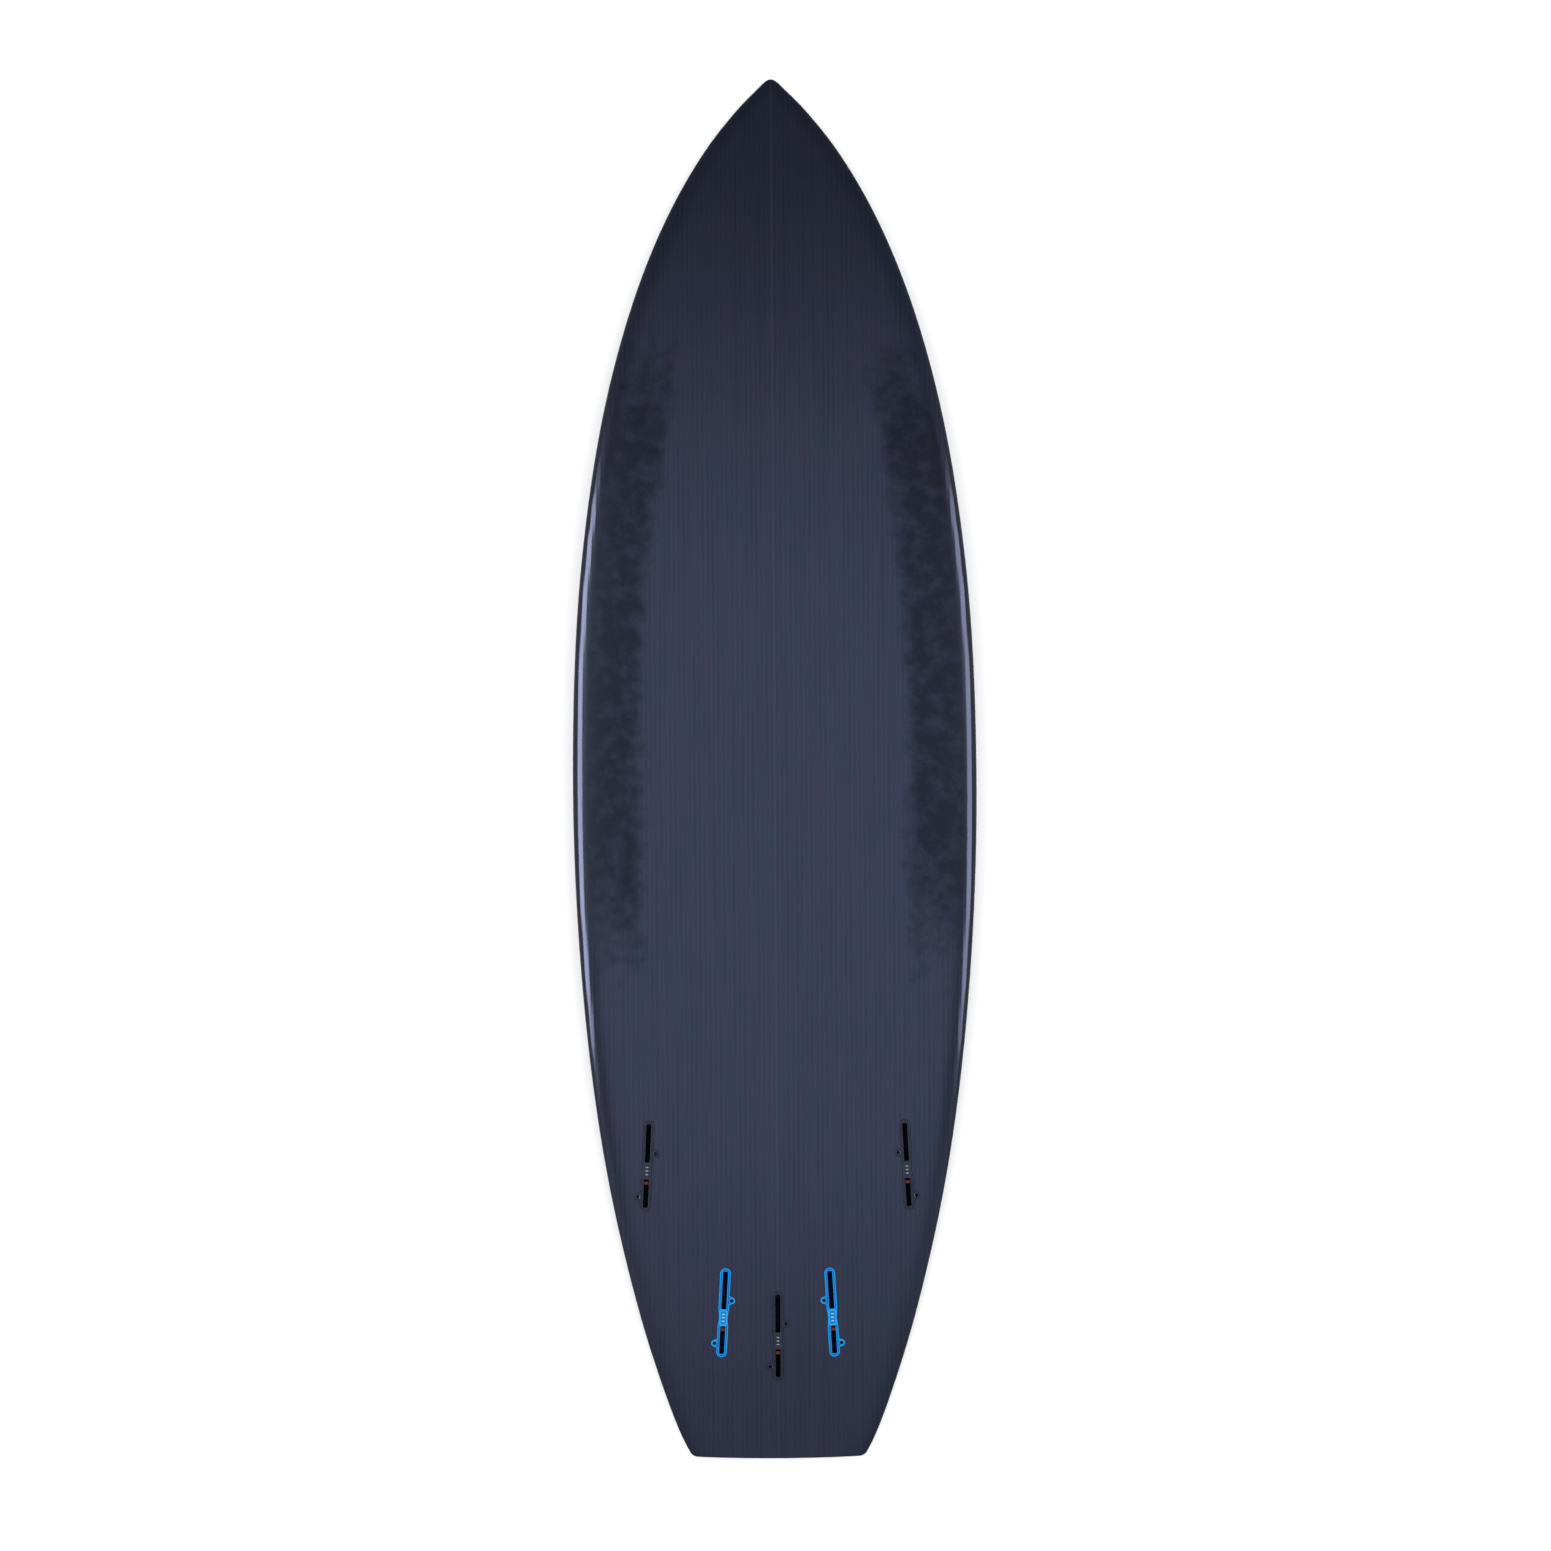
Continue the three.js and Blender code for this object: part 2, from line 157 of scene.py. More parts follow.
def enrol(piece: Object, node: str, body: str = STATIC_BODY) -> None:
    """Has a finished piece stand for its CAD node and ride on its body.

    Args:
        piece: The finished piece.
        node: The CAD node that it stands for.
        body: The CAD body that it moves with.
    """
    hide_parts(node)
    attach(piece, body)
    LOG.info("%s: %d faces, on %s", piece.name, len(piece.data.polygons), body)


def bar_outline(bm: BMesh, width: float, length: float, corner: float, steps: int) -> list[BMEdge]:
    """Draws a bar with rounded corners, as a loop of edges at height zero.

    Args:
        bm: Where it is drawn.
        width: Its size along X.
        length: Its size along Y.
        corner: The corners' radius, up to half the width.
        steps: Edges in all four corners together.

    Returns:
        The loop's edges.
    """
    turn = Matrix.Rotation(math.pi / steps, 4, "Z")
    made = bmesh.ops.create_circle(bm, segments=steps, radius=corner, matrix=turn)
    reach = Vector((width / 2 - corner, length / 2 - corner))
    for vert in made["verts"]:
        vert.co.x += math.copysign(reach.x, vert.co.x)
        vert.co.y += math.copysign(reach.y, vert.co.y)
    return list({edge for vert in made["verts"] for edge in vert.link_edges})


def raise_solid(bm: BMesh, face: BMFace, rungs: list[tuple[float, float]]) -> None:
    """Draws a flat face up or down into a closed solid.

    Args:
        bm: The mesh that holds the face.
        face: The solid's base.
        rungs: For each step, how far it is drawn in and how far it rises. A step with no
            drawing in is a straight wall, and one with both is a slope.
    """
    made = bmesh.ops.extrude_face_region(bm, geom=[face], use_keep_orig=True)["geom"]
    top = next(part for part in made if isinstance(part, BMFace))
    bmesh.ops.translate(bm, verts=top.verts, vec=(0.0, 0.0, rungs[0][1]))
    for draw_in, rise in rungs[1:]:
        if draw_in == 0.0:
            top = bmesh.ops.extrude_discrete_faces(bm, faces=[top])["faces"][0]
        else:
            bmesh.ops.inset_region(bm, faces=[top], thickness=draw_in, depth=0.0, use_even_offset=True)
        bmesh.ops.translate(bm, verts=top.verts, vec=(0.0, 0.0, rise))


def turned(name: str, profile: list[tuple[float, float]], steps: int) -> Object:
    """Turns a profile about the Z axis into a closed solid.

    Args:
        name: The new object's name.
        profile: Radius and height of each point. It ends on the axis or closes on itself.
        steps: Sides round the axis.

    Returns:
        The solid.
    """
    bm = bmesh.new()
    verts = [bm.verts.new((radius, 0.0, height)) for radius, height in profile]
    for first, second in zip(verts, verts[1:]):
        bm.edges.new((first, second))
    bmesh.ops.spin(
        bm, geom=bm.verts[:] + bm.edges[:], cent=(0.0, 0.0, 0.0), axis=(0.0, 0.0, 1.0),
        dvec=(0.0, 0.0, 0.0), angle=2.0 * math.pi, steps=steps, use_merge=True, use_duplicate=False,
    )
    bmesh.ops.remove_doubles(bm, verts=bm.verts, dist=SAME_PLACE)
    return make_object(name, bm)


def post(name: str, radius: float, length: float, sides: int, at: Matrix) -> Object:
    """A straight round or many-sided post.

    Args:
        name: The new object's name.
        radius: Its radius.
        length: Its length along its own Z axis.
        sides: Its sides.
        at: From its own frame, with its middle at the origin, to its place.

    Returns:
        The solid.
    """
    bm = bmesh.new()
    bmesh.ops.create_cone(
        bm, cap_ends=True, segments=sides, radius1=radius, radius2=radius, depth=length, matrix=at,
    )
    return make_object(name, bm)


def rod(name: str, radius: float, length: float, edge: float, sides: int) -> Object:
    """A round rod along the Z axis with bevelled ends.

    Args:
        name: The new object's name.
        radius: Its radius.
        length: Its length.
        edge: Size of the bevels.
        sides: Its sides.

    Returns:
        The solid.
    """
    end = length / 2
    half = [(0.0, -end), (radius - edge, -end), (radius, edge - end)]
    return turned(name, half + [(out, -height) for out, height in reversed(half)], sides)


def move_mesh(piece: Object, matrix: Matrix) -> None:
    """Moves a piece's mesh, so that its object stays at the origin."""
    piece.data.transform(matrix)
    piece.data.update()


# ---------------------------------------------------------------- the board's shape


@dataclass(frozen=True)
class Curve:
    """A smooth curve through points of rising x. Its slope at a point is its neighbours' mean.

    Args:
        points: Each point's x and y.
    """

    points: tuple[tuple[float, float], ...]

    def rise(self, index: int) -> float:
        """The slope of the straight line from one point to the next."""
        (x0, y0), (x1, y1) = self.points[index], self.points[index + 1]
        return (y1 - y0) / (x1 - x0)

    def slope(self, index: int) -> float:
        """The curve's slope at one of its points.

        Args:
            index: Which point, from 0.

        Returns:
            The slope there.
        """
        last = len(self.points) - 1
        if index == 0:
            return self.rise(0)
        if index == last:
            return self.rise(last - 1)
        return (self.rise(index - 1) + self.rise(index)) / 2

    def at(self, x: float) -> float:
        """The curve's height at x.

        Args:
            x: Where on the curve.

        Returns:
            The height there.
        """
        index = 0
        while index < len(self.points) - 2 and x > self.points[index + 1][0]:
            index += 1
        (x0, y0), (x1, y1) = self.points[index], self.points[index + 1]
        step = x1 - x0
        t = min(max((x - x0) / step, 0.0), 1.0)
        before = (1 + 2 * t) * y0 + t * step * self.slope(index)
        after = (3 - 2 * t) * y1 + (t - 1) * step * self.slope(index + 1)
        return (1 - t) ** 2 * before + t ** 2 * after


def rounding(distance: float, radius: float) -> float:
    """What a rounded edge takes off, at a distance from the end."""
    inside = min(max(radius - distance, 0.0), radius)
    return radius - math.sqrt(radius ** 2 - inside ** 2)


def mix(first: float, second: float, share: float) -> float:
    """A value between two others."""
    return first + (second - first) * share


@dataclass(frozen=True)
class Section:
    """The board's cross-section at one station.

    Args:
        half_width: From the stringer to the rail's edge.
        apex: Height of the rail's edge.
        rise: From the rail's edge up to the bottom.
        drop: From the rail's edge down to the deck.
        power: How hard the rail turns into the bottom.
        single: Depth of the one wide hollow in the bottom.
        double: Depth of the two hollows beside the spine.
    """

    half_width: float
    apex: float
    rise: float
    drop: float
    power: float
    single: float
    double: float


@dataclass(frozen=True)
class BoardShape:
    """The board's outline, foil, rocker, rails and bottom hollows, as a shaper gives them."""

    length: float = 1.778
    nose_rocker: float = 0.127
    nose_curve: float = 2.6
    tail_rocker: float = 0.061
    tail_curve: float = 2.2
    tail_corner: float = 0.006
    tail_bow: float = 0.0025
    tail_bow_reach: float = 0.06
    end_edge: float = 0.004
    apex_share: tuple[float, float] = (0.32, 0.5)        # at the tail and at the nose
    bottom_power: tuple[float, float] = (14.0, 5.0)
    deck_power: float = 3.0
    concave_span: float = 0.86
    skin: float = 0.0018
    tail_wall: float = 0.009
    nose_wall: float = 0.016
    lowest_steps: int = 26
    outline: Curve = Curve((
        (0.0, 0.111), (0.025, 0.123), (0.08, 0.144), (0.19, 0.178), (0.38, 0.22), (0.61, 0.248),
        (0.89, 0.2584), (1.17, 0.244), (1.4, 0.204), (1.57, 0.147), (1.68, 0.088), (1.74, 0.042),
        (1.768, 0.015), (1.778, 0.005),
    ))
    foil: Curve = Curve((
        (0.0, 0.016), (0.1, 0.031), (0.305, 0.043), (0.6, 0.058), (0.889, 0.0635), (1.2, 0.057),
        (1.473, 0.038), (1.68, 0.02), (1.778, 0.012),
    ))
    single_concave: Curve = Curve((
        (0.0, 0.0), (0.5, 0.0005), (0.9, 0.003), (1.25, 0.0015), (1.5, 0.0), (1.778, 0.0),
    ))
    double_concave: Curve = Curve((
        (0.0, 0.0), (0.12, 0.0008), (0.4, 0.003), (0.7, 0.002), (1.0, 0.0), (1.778, 0.0),
    ))

    def half_width(self, station: float) -> float:
        """From the stringer to the rail's edge.

        Args:
            station: Distance from the tail end.

        Returns:
            Half of the width there.
        """
        tail = rounding(station, self.tail_corner)
        nose = rounding(self.length - station, self.end_edge)
        return self.outline.at(station) - tail - nose

    def thickness(self, station: float) -> float:
        """From the deck to the bottom at the stringer."""
        end = min(station, self.length - station)
        return self.foil.at(station) - 2 * rounding(end, self.end_edge)

    def rocker_line(self, station: float) -> float:
        """Height of the bottom over the line through the deck's two ends.

        Args:
            station: Distance from the tail end.

        Returns:
            The height there.
        """
        middle = self.length / 2
        past = (station - middle) / middle
        if past > 0.0:
            rocker = -self.nose_rocker * past ** self.nose_curve
        else:
            rocker = -self.tail_rocker * (-past) ** self.tail_curve
        tail = -self.tail_rocker - self.foil.at(0.0)
        nose = -self.nose_rocker - self.foil.at(self.length)
        return rocker - mix(tail, nose, station / self.length)

    def station_at(self, share: float) -> float:
        """Stations that crowd towards both ends, for a share from 0 to 1."""
        return self.length * (1 - math.cos(math.pi * share)) / 2

    @lru_cache(maxsize=None)
    def lowest(self) -> float:
        """The deck's lowest point, below the line through its two ends."""
        steps = [self.station_at(i / self.lowest_steps) for i in range(self.lowest_steps + 1)]
        return min(self.rocker_line(s) - self.thickness(s) for s in steps)

    @lru_cache(maxsize=4096)
    def section(self, station: float) -> Section:
        """The cross-section at a station.

        Args:
            station: Distance from the tail end.

        Returns:
            Its widths, heights and curves.
        """
        along = station / self.length
        thick = self.thickness(station)
        share = mix(*self.apex_share, along ** 2)
        return Section(
            half_width=self.half_width(station),
            apex=self.rocker_line(station) - self.lowest() - share * thick,
            rise=share * thick,
            drop=(1 - share) * thick,
            power=mix(*self.bottom_power, along ** 3),
            single=self.single_concave.at(station),
            double=self.double_concave.at(station),
        )

    def point(self, share: float, station: float, up: float, inset: float = 0.0) -> Vector:
        """A point of the surface, or of one that lies inside it.

        Args:
            share: Place across the board, from -1 to 1 at the rails.
            station: Distance from the tail.
            up: Above 0 for the bottom, below 0 for the deck and 0 for the rail's edge.
            inset: How far inside the surface.

        Returns:
            The point, in the board's frame.
        """
        cut = self.section(round(station, STATION_DIGITS))
        height = cut.apex
        if up > 0.0:
            across = min(abs(share) / self.concave_span, 1.0)
            hollow = cut.single * (1 - across ** 2) ** 2
            hollow += cut.double * math.sin(math.pi * across) ** 2
            round_off = math.sqrt(max(1 - abs(share) ** cut.power, 0.0))
            height += (cut.rise - inset) * round_off - hollow
        elif up < 0.0:
            round_off = math.sqrt(max(1 - abs(share) ** self.deck_power, 0.0))
            height -= (cut.drop - inset) * round_off
        fade = max(1 - station / self.tail_bow_reach, 0.0)
        bow = self.tail_bow * share ** 2 * fade ** 2
        return Vector((share * (cut.half_width - inset), station - self.length / 2 + bow, height))

    def surface_height(self, x: float, y: float, side: int) -> float:
        """Height of the bottom or of the deck over a point of the floor.

        Args:
            x: Across the board.
            y: Along the board.
            side: BOTTOM or DECK.

        Returns:
            The height there.
        """
        station = min(max(y + self.length / 2, 0.0), self.length)
        half = self.section(round(station, STATION_DIGITS)).half_width
        share = min(max(x / half, -1.0), 1.0)
        return self.point(share, station, side).z

    def place_on_hull(self, verts: list[BMVert], inset: float) -> None:
        """Moves the vertices of a unit sphere to the hull.

        Args:
            verts: Vertices of a sphere whose poles are the tail and the nose.
            inset: How far inside the outer surface.
        """
        tail = self.tail_wall + inset - self.skin if inset else 0.0
        nose = self.length - (self.nose_wall + inset - self.skin if inset else 0.0)
        for vert in verts:
            x, y, z = vert.co
            ring = math.hypot(x, y)
            station = mix(tail, nose, min(max((1 + z) / 2, 0.0), 1.0))
            if ring < NEAR_POLE:
                vert.co = self.point(0.0, station, 0.0, inset)
                continue
            share = min(max(x / ring, -1.0), 1.0)
            up = y / ring if abs(y / ring) > NEAR_POLE else 0.0
            share = math.copysign(1.0, x) if up == 0.0 else share
            vert.co = self.point(share, station, up, inset)


SHAPE = BoardShape()


# ---------------------------------------------------------------- finishes


def lay_out(group: NodeFrame, title: str, row: int, members: tuple[Node, ...]) -> None:
    """Sets a row of nodes side by side in one frame.

    Args:
        group: The frame that holds them.
        title: What they do together.
        row: Which row of the layout they are in.
        members: The nodes, from left to right.
    """
    group.label = title
    for column, node in enumerate(members):
        node.parent = group
        node.location = (COLUMN * column, -ROW * row)


@dataclass(frozen=True)
class Laminate:
    """Glass and tinted resin over the core, sanded satin on the flats and glossy at the rails.

    Args:
        name: The material's name.
        body: The resin's colour.
        warm: The colour where the tint runs towards purple.
        sheen: Tint of the reflection off the weave under the resin.
        rough: Roughness of the sanded flats.
        gloss: Roughness of the polished rails.
        gloss_width: How far in from the rail's edge the polish reaches.
        rib_pitch: Distance between the lengthwise ribs.
        rib_height: Height of the ribs.
        rib_tone: How much darker the resin is between the ribs.
        mottle_and_shade_strength: How much the blotchy band inside the rails darkens it. The band is
            partly the laminate's own mottling and partly painted shade where the rail's reflection is
            dim.
        band_in: Distances from the rail over which the blotches and the painted shade start.
        band_out: Distances from the rail over which they end.
        band_aft: Stations over which they start.
        band_fore: Stations over which they end.
        nose_painted_shade: Stations over which the colour darkens towards the nose, painted shade where
            the rocker tilts the bottom out of the light's reflection.
        tail_painted_shade: Stations over which it darkens towards the tail, painted shade in the same
            way.
        end_shade_depth: How much the painted shade darkens it at the nose and at the tail.
        polish_start: Stations over which the rails' polish starts.
        line: Half widths of a painted highlight along the spine over the stringer, from full to none.
    """

    name: str
    body: RGB = (0.0094, 0.0136, 0.0238)
    warm: RGB = (0.0134, 0.0124, 0.024)
    sheen: RGB = (0.47, 0.56, 1.0)
    rough: float = 0.42
    gloss: float = 0.16
    gloss_width: float = 0.018
    rib_pitch: float = 0.0062
    rib_height: float = 0.00009
    rib_tone: float = 0.36
    # The blotchy band inside the rails: partly the laminate's own mottling, partly painted shade.
    mottle_and_shade_strength: float = 0.95
    band_in: tuple[float, float] = (0.006, 0.016)
    band_out: tuple[float, float] = (0.065, 0.135)
    band_aft: tuple[float, float] = (0.36, 0.8)
    band_fore: tuple[float, float] = (1.3, 1.66)
    # Painted shade: the colour darkens towards the nose and the tail.
    nose_painted_shade: tuple[float, float] = (1.15, 1.75)
    tail_painted_shade: tuple[float, float] = (0.42, 0.02)
    end_shade_depth: tuple[float, float] = (0.62, 0.34)
    polish_start: tuple[float, float] = (0.2, 0.46)
    # Widths of the painted highlight along the spine.
    line: tuple[float, float] = (0.0006, 0.0016)

    def material(self) -> Material:
        """Writes the material out.

        Returns:
            A material that reads Object coordinates and the Outline map.
        """
        made = bpy.data.materials.new(self.name)
        made.use_nodes = True
        nodes, links = made.node_tree.nodes, made.node_tree.links
        nodes.clear()

        place = nodes.new("ShaderNodeTexCoord")
        place.label = "Place on the board"
        outline = nodes.new("ShaderNodeUVMap")
        outline.label = "Distance from rail and tail"
        outline_axes = nodes.new("ShaderNodeSeparateXYZ")
        outline_axes.label = "Rail distance, station"

        ribs = nodes.new("ShaderNodeTexWave")
        ribs.label = "Lengthwise ribs"
        rib_stretch = nodes.new("ShaderNodeMapping")
        rib_stretch.label = "Draws the sanding out"
        rib_fade = nodes.new("ShaderNodeTexNoise")
        rib_fade.label = "Where the ribs are sanded off"
        rib_edge = nodes.new("ShaderNodeMapRange")
        rib_edge.label = "Some ribs stand out"
        rib_amount = nodes.new("ShaderNodeMath")
        rib_amount.label = "Ribs left standing"
        rib_clear = nodes.new("ShaderNodeMath")
        rib_clear.label = "No ribs in the blotches"
        rib_frame = nodes.new("NodeFrame")

        # Band inside the rails, starting just in from the rail's reflection: partly the laminate's own
        # mottling, partly painted shade where the reflection is dim.
        band_in = nodes.new("ShaderNodeMapRange")
        band_in.label = "Band starts inside the rail"
        band_out = nodes.new("ShaderNodeMapRange")
        band_out.label = "Band ends towards the middle"
        band_aft = nodes.new("ShaderNodeMapRange")
        band_aft.label = "Band ends before the tail"
        band_fore = nodes.new("ShaderNodeMapRange")
        band_fore.label = "Band ends before the nose"
        band_across = nodes.new("ShaderNodeMath")
        band_across.label = "Band across"
        band_along = nodes.new("ShaderNodeMath")
        band_along.label = "Band along"
        band = nodes.new("ShaderNodeMath")
        band.label = "Band"
        blotches = nodes.new("ShaderNodeTexNoise")
        blotches.label = "Blotches of thin resin"
        blotch_edge = nodes.new("ShaderNodeMapRange")
        blotch_edge.label = "Blotches' soft edges"
        mottled = nodes.new("ShaderNodeMath")
        mottled.label = "Blotches in the band"
        unmottled = nodes.new("ShaderNodeMath")
        unmottled.label = "Outside the blotches"
        band_frame = nodes.new("NodeFrame")

        hue_stretch = nodes.new("ShaderNodeMapping")
        hue_stretch.label = "Draws the drift out"
        hue = nodes.new("ShaderNodeTexNoise")
        hue.label = "Drift of the tint"
        hue_edge = nodes.new("ShaderNodeMapRange")
        hue_edge.label = "Contrast of the drift"
        tint = nodes.new("ShaderNodeMix")
        tint.label = "Blue to purple resin"
        rib_dark = nodes.new("ShaderNodeMix")
        rib_dark.label = "Darker between ribs"
        # Darkens the blotchy band: mottling and painted shade together.
        mottle_and_painted_shade = nodes.new("ShaderNodeMix")
        mottle_and_painted_shade.label = "Darker blotches"
        rib_share = nodes.new("ShaderNodeMath")
        rib_share.label = "Rib tone"
        blotch_share = nodes.new("ShaderNodeMath")
        blotch_share.label = "Blotch tone"
        # Painted shade towards the nose and the tail, where the rocker tilts the bottom out of the
        # light's reflection.
        nose_shade = nodes.new("ShaderNodeMapRange")
        nose_shade.label = "Deeper towards the nose"
        tail_shade = nodes.new("ShaderNodeMapRange")
        tail_shade.label = "Deeper towards the tail"
        ends = nodes.new("ShaderNodeMath")
        ends.label = "Deeper at both ends"
        painted_end_shade = nodes.new("ShaderNodeMix")
        painted_end_shade.label = "Deeper tint"
        colour_frame = nodes.new("NodeFrame")

        # Painted highlight: a faint lighter line where light catches the spine over the stringer.
        spine = nodes.new("ShaderNodeSeparateXYZ")
        spine.label = "Distance from the stringer"
        spine_off = nodes.new("ShaderNodeMath")
        spine_off.label = "Either side"
        spine_highlight_mask = nodes.new("ShaderNodeMapRange")
        spine_highlight_mask.label = "Faint line over the stringer"
        spine_painted_highlight = nodes.new("ShaderNodeMix")
        spine_painted_highlight.label = "Lighter over the stringer"
        spine_frame = nodes.new("NodeFrame")

        polish = nodes.new("ShaderNodeMapRange")
        polish.label = "Polished rail to sanded flat"
        polish_aft = nodes.new("ShaderNodeMapRange")
        polish_aft.label = "No polish at the tail"
        polish_fade = nodes.new("ShaderNodeMix")
        polish_fade.label = "Sanded tail or polished rail"
        smears = nodes.new("ShaderNodeTexNoise")
        smears.label = "Sanding smears"
        smear_rough = nodes.new("ShaderNodeMath")
        smear_rough.label = "Smears in the gloss"
        blotch_rough = nodes.new("ShaderNodeMath")
        blotch_rough.label = "Duller blotches"
        gloss_frame = nodes.new("NodeFrame")

        peel = nodes.new("ShaderNodeTexNoise")
        peel.label = "Resin's orange peel"
        rib_bump = nodes.new("ShaderNodeBump")
        rib_bump.label = "Ribs in relief"
        peel_bump = nodes.new("ShaderNodeBump")
        peel_bump.label = "Peel in relief"
        relief_frame = nodes.new("NodeFrame")

        resin = nodes.new("ShaderNodeBsdfPrincipled")
        resin.label = "Resin surface"
        output = nodes.new("ShaderNodeOutputMaterial")
        output.label = "Laminate"

        lay_out(rib_frame, "Ribs", 0, (
            ribs, rib_stretch, rib_fade, rib_edge, rib_amount, rib_clear,
        ))
        lay_out(band_frame, "Mottled band", 1, (
            band_in, band_out, band_aft, band_fore, band_across, band_along, band,
            blotches, mottled, blotch_edge, unmottled,
        ))
        lay_out(colour_frame, "Colour", 2, (
            hue_stretch, hue, hue_edge, tint, rib_share, rib_dark, blotch_share, mottle_and_painted_shade,
            nose_shade, tail_shade, ends, painted_end_shade,
        ))
        lay_out(spine_frame, "Stringer line", 3, (spine, spine_off, spine_highlight_mask, spine_painted_highlight))
        lay_out(gloss_frame, "Gloss", 4, (
            polish, polish_aft, polish_fade, smears, smear_rough, blotch_rough,
        ))
        lay_out(relief_frame, "Relief", 5, (peel, rib_bump, peel_bump))
        for column, node in enumerate((place, outline, outline_axes)):
            node.location = (COLUMN * (column - 4), 0.0)
        for column, node in enumerate((resin, output)):
            node.location = (COLUMN * (column + 11), 0.0)

        outline.uv_map = "Outline"
        ribs.wave_type = "BANDS"
        ribs.bands_direction = "X"
        ribs.inputs["Scale"].default_value = math.pi / (10.0 * self.rib_pitch)
        ribs.inputs["Distortion"].default_value = 0.35
        ribs.inputs["Detail"].default_value = 1.0
        ribs.inputs["Detail Scale"].default_value = 0.08
        rib_stretch.inputs["Scale"].default_value = (90.0, 5.0, 1.0)
        rib_fade.inputs["Scale"].default_value = 1.0
        rib_fade.inputs["Detail"].default_value = 3.0
        rib_edge.inputs["From Min"].default_value = 0.36
        rib_edge.inputs["From Max"].default_value = 0.66
        rib_edge.inputs["To Min"].default_value = 0.45
        rib_amount.operation = "MULTIPLY"
        rib_clear.operation = "MULTIPLY"
        for node, (near, far), start, end in (
            (band_in, self.band_in, 0.0, 1.0), (band_out, self.band_out, 1.0, 0.0),
            (band_aft, self.band_aft, 0.0, 1.0), (band_fore, self.band_fore, 1.0, 0.0),
            (nose_shade, self.nose_painted_shade, 0.0, self.end_shade_depth[0]), (tail_shade, self.tail_painted_shade, 0.0, self.end_shade_depth[1]),
        ):
            node.interpolation_type = "SMOOTHSTEP"
            node.inputs["From Min"].default_value = near
            node.inputs["From Max"].default_value = far
            node.inputs["To Min"].default_value = start
            node.inputs["To Max"].default_value = end
        for node in (band_across, band_along, band, rib_share, blotch_share):
            node.operation = "MULTIPLY"
        mottled.operation = "ADD"
        unmottled.operation = "SUBTRACT"
        unmottled.inputs[0].default_value = 1.0
        blotches.inputs["Scale"].default_value = 46.0
        blotches.inputs["Detail"].default_value = 5.0
        blotches.inputs["Roughness"].default_value = 0.68
        blotch_edge.inputs["From Min"].default_value = 1.14
        blotch_edge.inputs["From Max"].default_value = 1.54
        hue_stretch.inputs["Scale"].default_value = (26.0, 14.0, 1.0)
        hue.inputs["Scale"].default_value = 1.0
        hue.inputs["Detail"].default_value = 4.0
        hue_edge.inputs["From Min"].default_value = 0.35
        hue_edge.inputs["From Max"].default_value = 0.65
        tint.data_type = "RGBA"
        tint.inputs["A"].default_value = (*self.body, 1.0)
        tint.inputs["B"].default_value = (*self.warm, 1.0)
        rib_dark.data_type = "RGBA"
        rib_dark.blend_type = "MULTIPLY"
        rib_dark.inputs["B"].default_value = (0.0, 0.0, 0.0, 1.0)
        rib_share.inputs[1].default_value = self.rib_tone
        mottle_and_painted_shade.data_type = "RGBA"
        mottle_and_painted_shade.blend_type = "MULTIPLY"
        mottle_and_painted_shade.inputs["B"].default_value = (0.0, 0.0, 0.0, 1.0)
        blotch_share.inputs[1].default_value = self.mottle_and_shade_strength
        ends.operation = "ADD"
        painted_end_shade.data_type = "RGBA"
        painted_end_shade.blend_type = "MULTIPLY"
        painted_end_shade.inputs["B"].default_value = (0.0, 0.0, 0.0, 1.0)
        spine_off.operation = "ABSOLUTE"
        spine_highlight_mask.inputs["From Min"].default_value = self.line[0]
        spine_highlight_mask.inputs["From Max"].default_value = self.line[1]
        spine_highlight_mask.inputs["To Min"].default_value = 0.07
        spine_highlight_mask.inputs["To Max"].default_value = 0.0
        spine_painted_highlight.data_type = "RGBA"
        spine_painted_highlight.inputs["B"].default_value = (0.06, 0.066, 0.085, 1.0)
        polish.inputs["From Min"].default_value = self.gloss_width - 0.006
        polish.inputs["From Max"].default_value = self.gloss_width + 0.01
        polish.inputs["To Min"].default_value = self.gloss
        polish.inputs["To Max"].default_value = self.rough
        polish_aft.inputs["From Min"].default_value = self.polish_start[0]
        polish_aft.inputs["From Max"].default_value = self.polish_start[1]
        polish_fade.inputs["A"].default_value = self.rough
        smears.inputs["Scale"].default_value = 22.0
        smears.inputs["Detail"].default_value = 4.0
        smear_rough.operation = "MULTIPLY_ADD"
        smear_rough.inputs[1].default_value = 0.05
        blotch_rough.operation = "MULTIPLY_ADD"
        blotch_rough.inputs[1].default_value = 0.12
        peel.inputs["Scale"].default_value = 420.0
        peel.inputs["Detail"].default_value = 2.0
        rib_bump.inputs["Distance"].default_value = self.rib_height
        peel_bump.inputs["Distance"].default_value = 0.000015
        resin.inputs["IOR"].default_value = 1.5
        resin.inputs["Specular Tint"].default_value = (*self.sheen, 1.0)

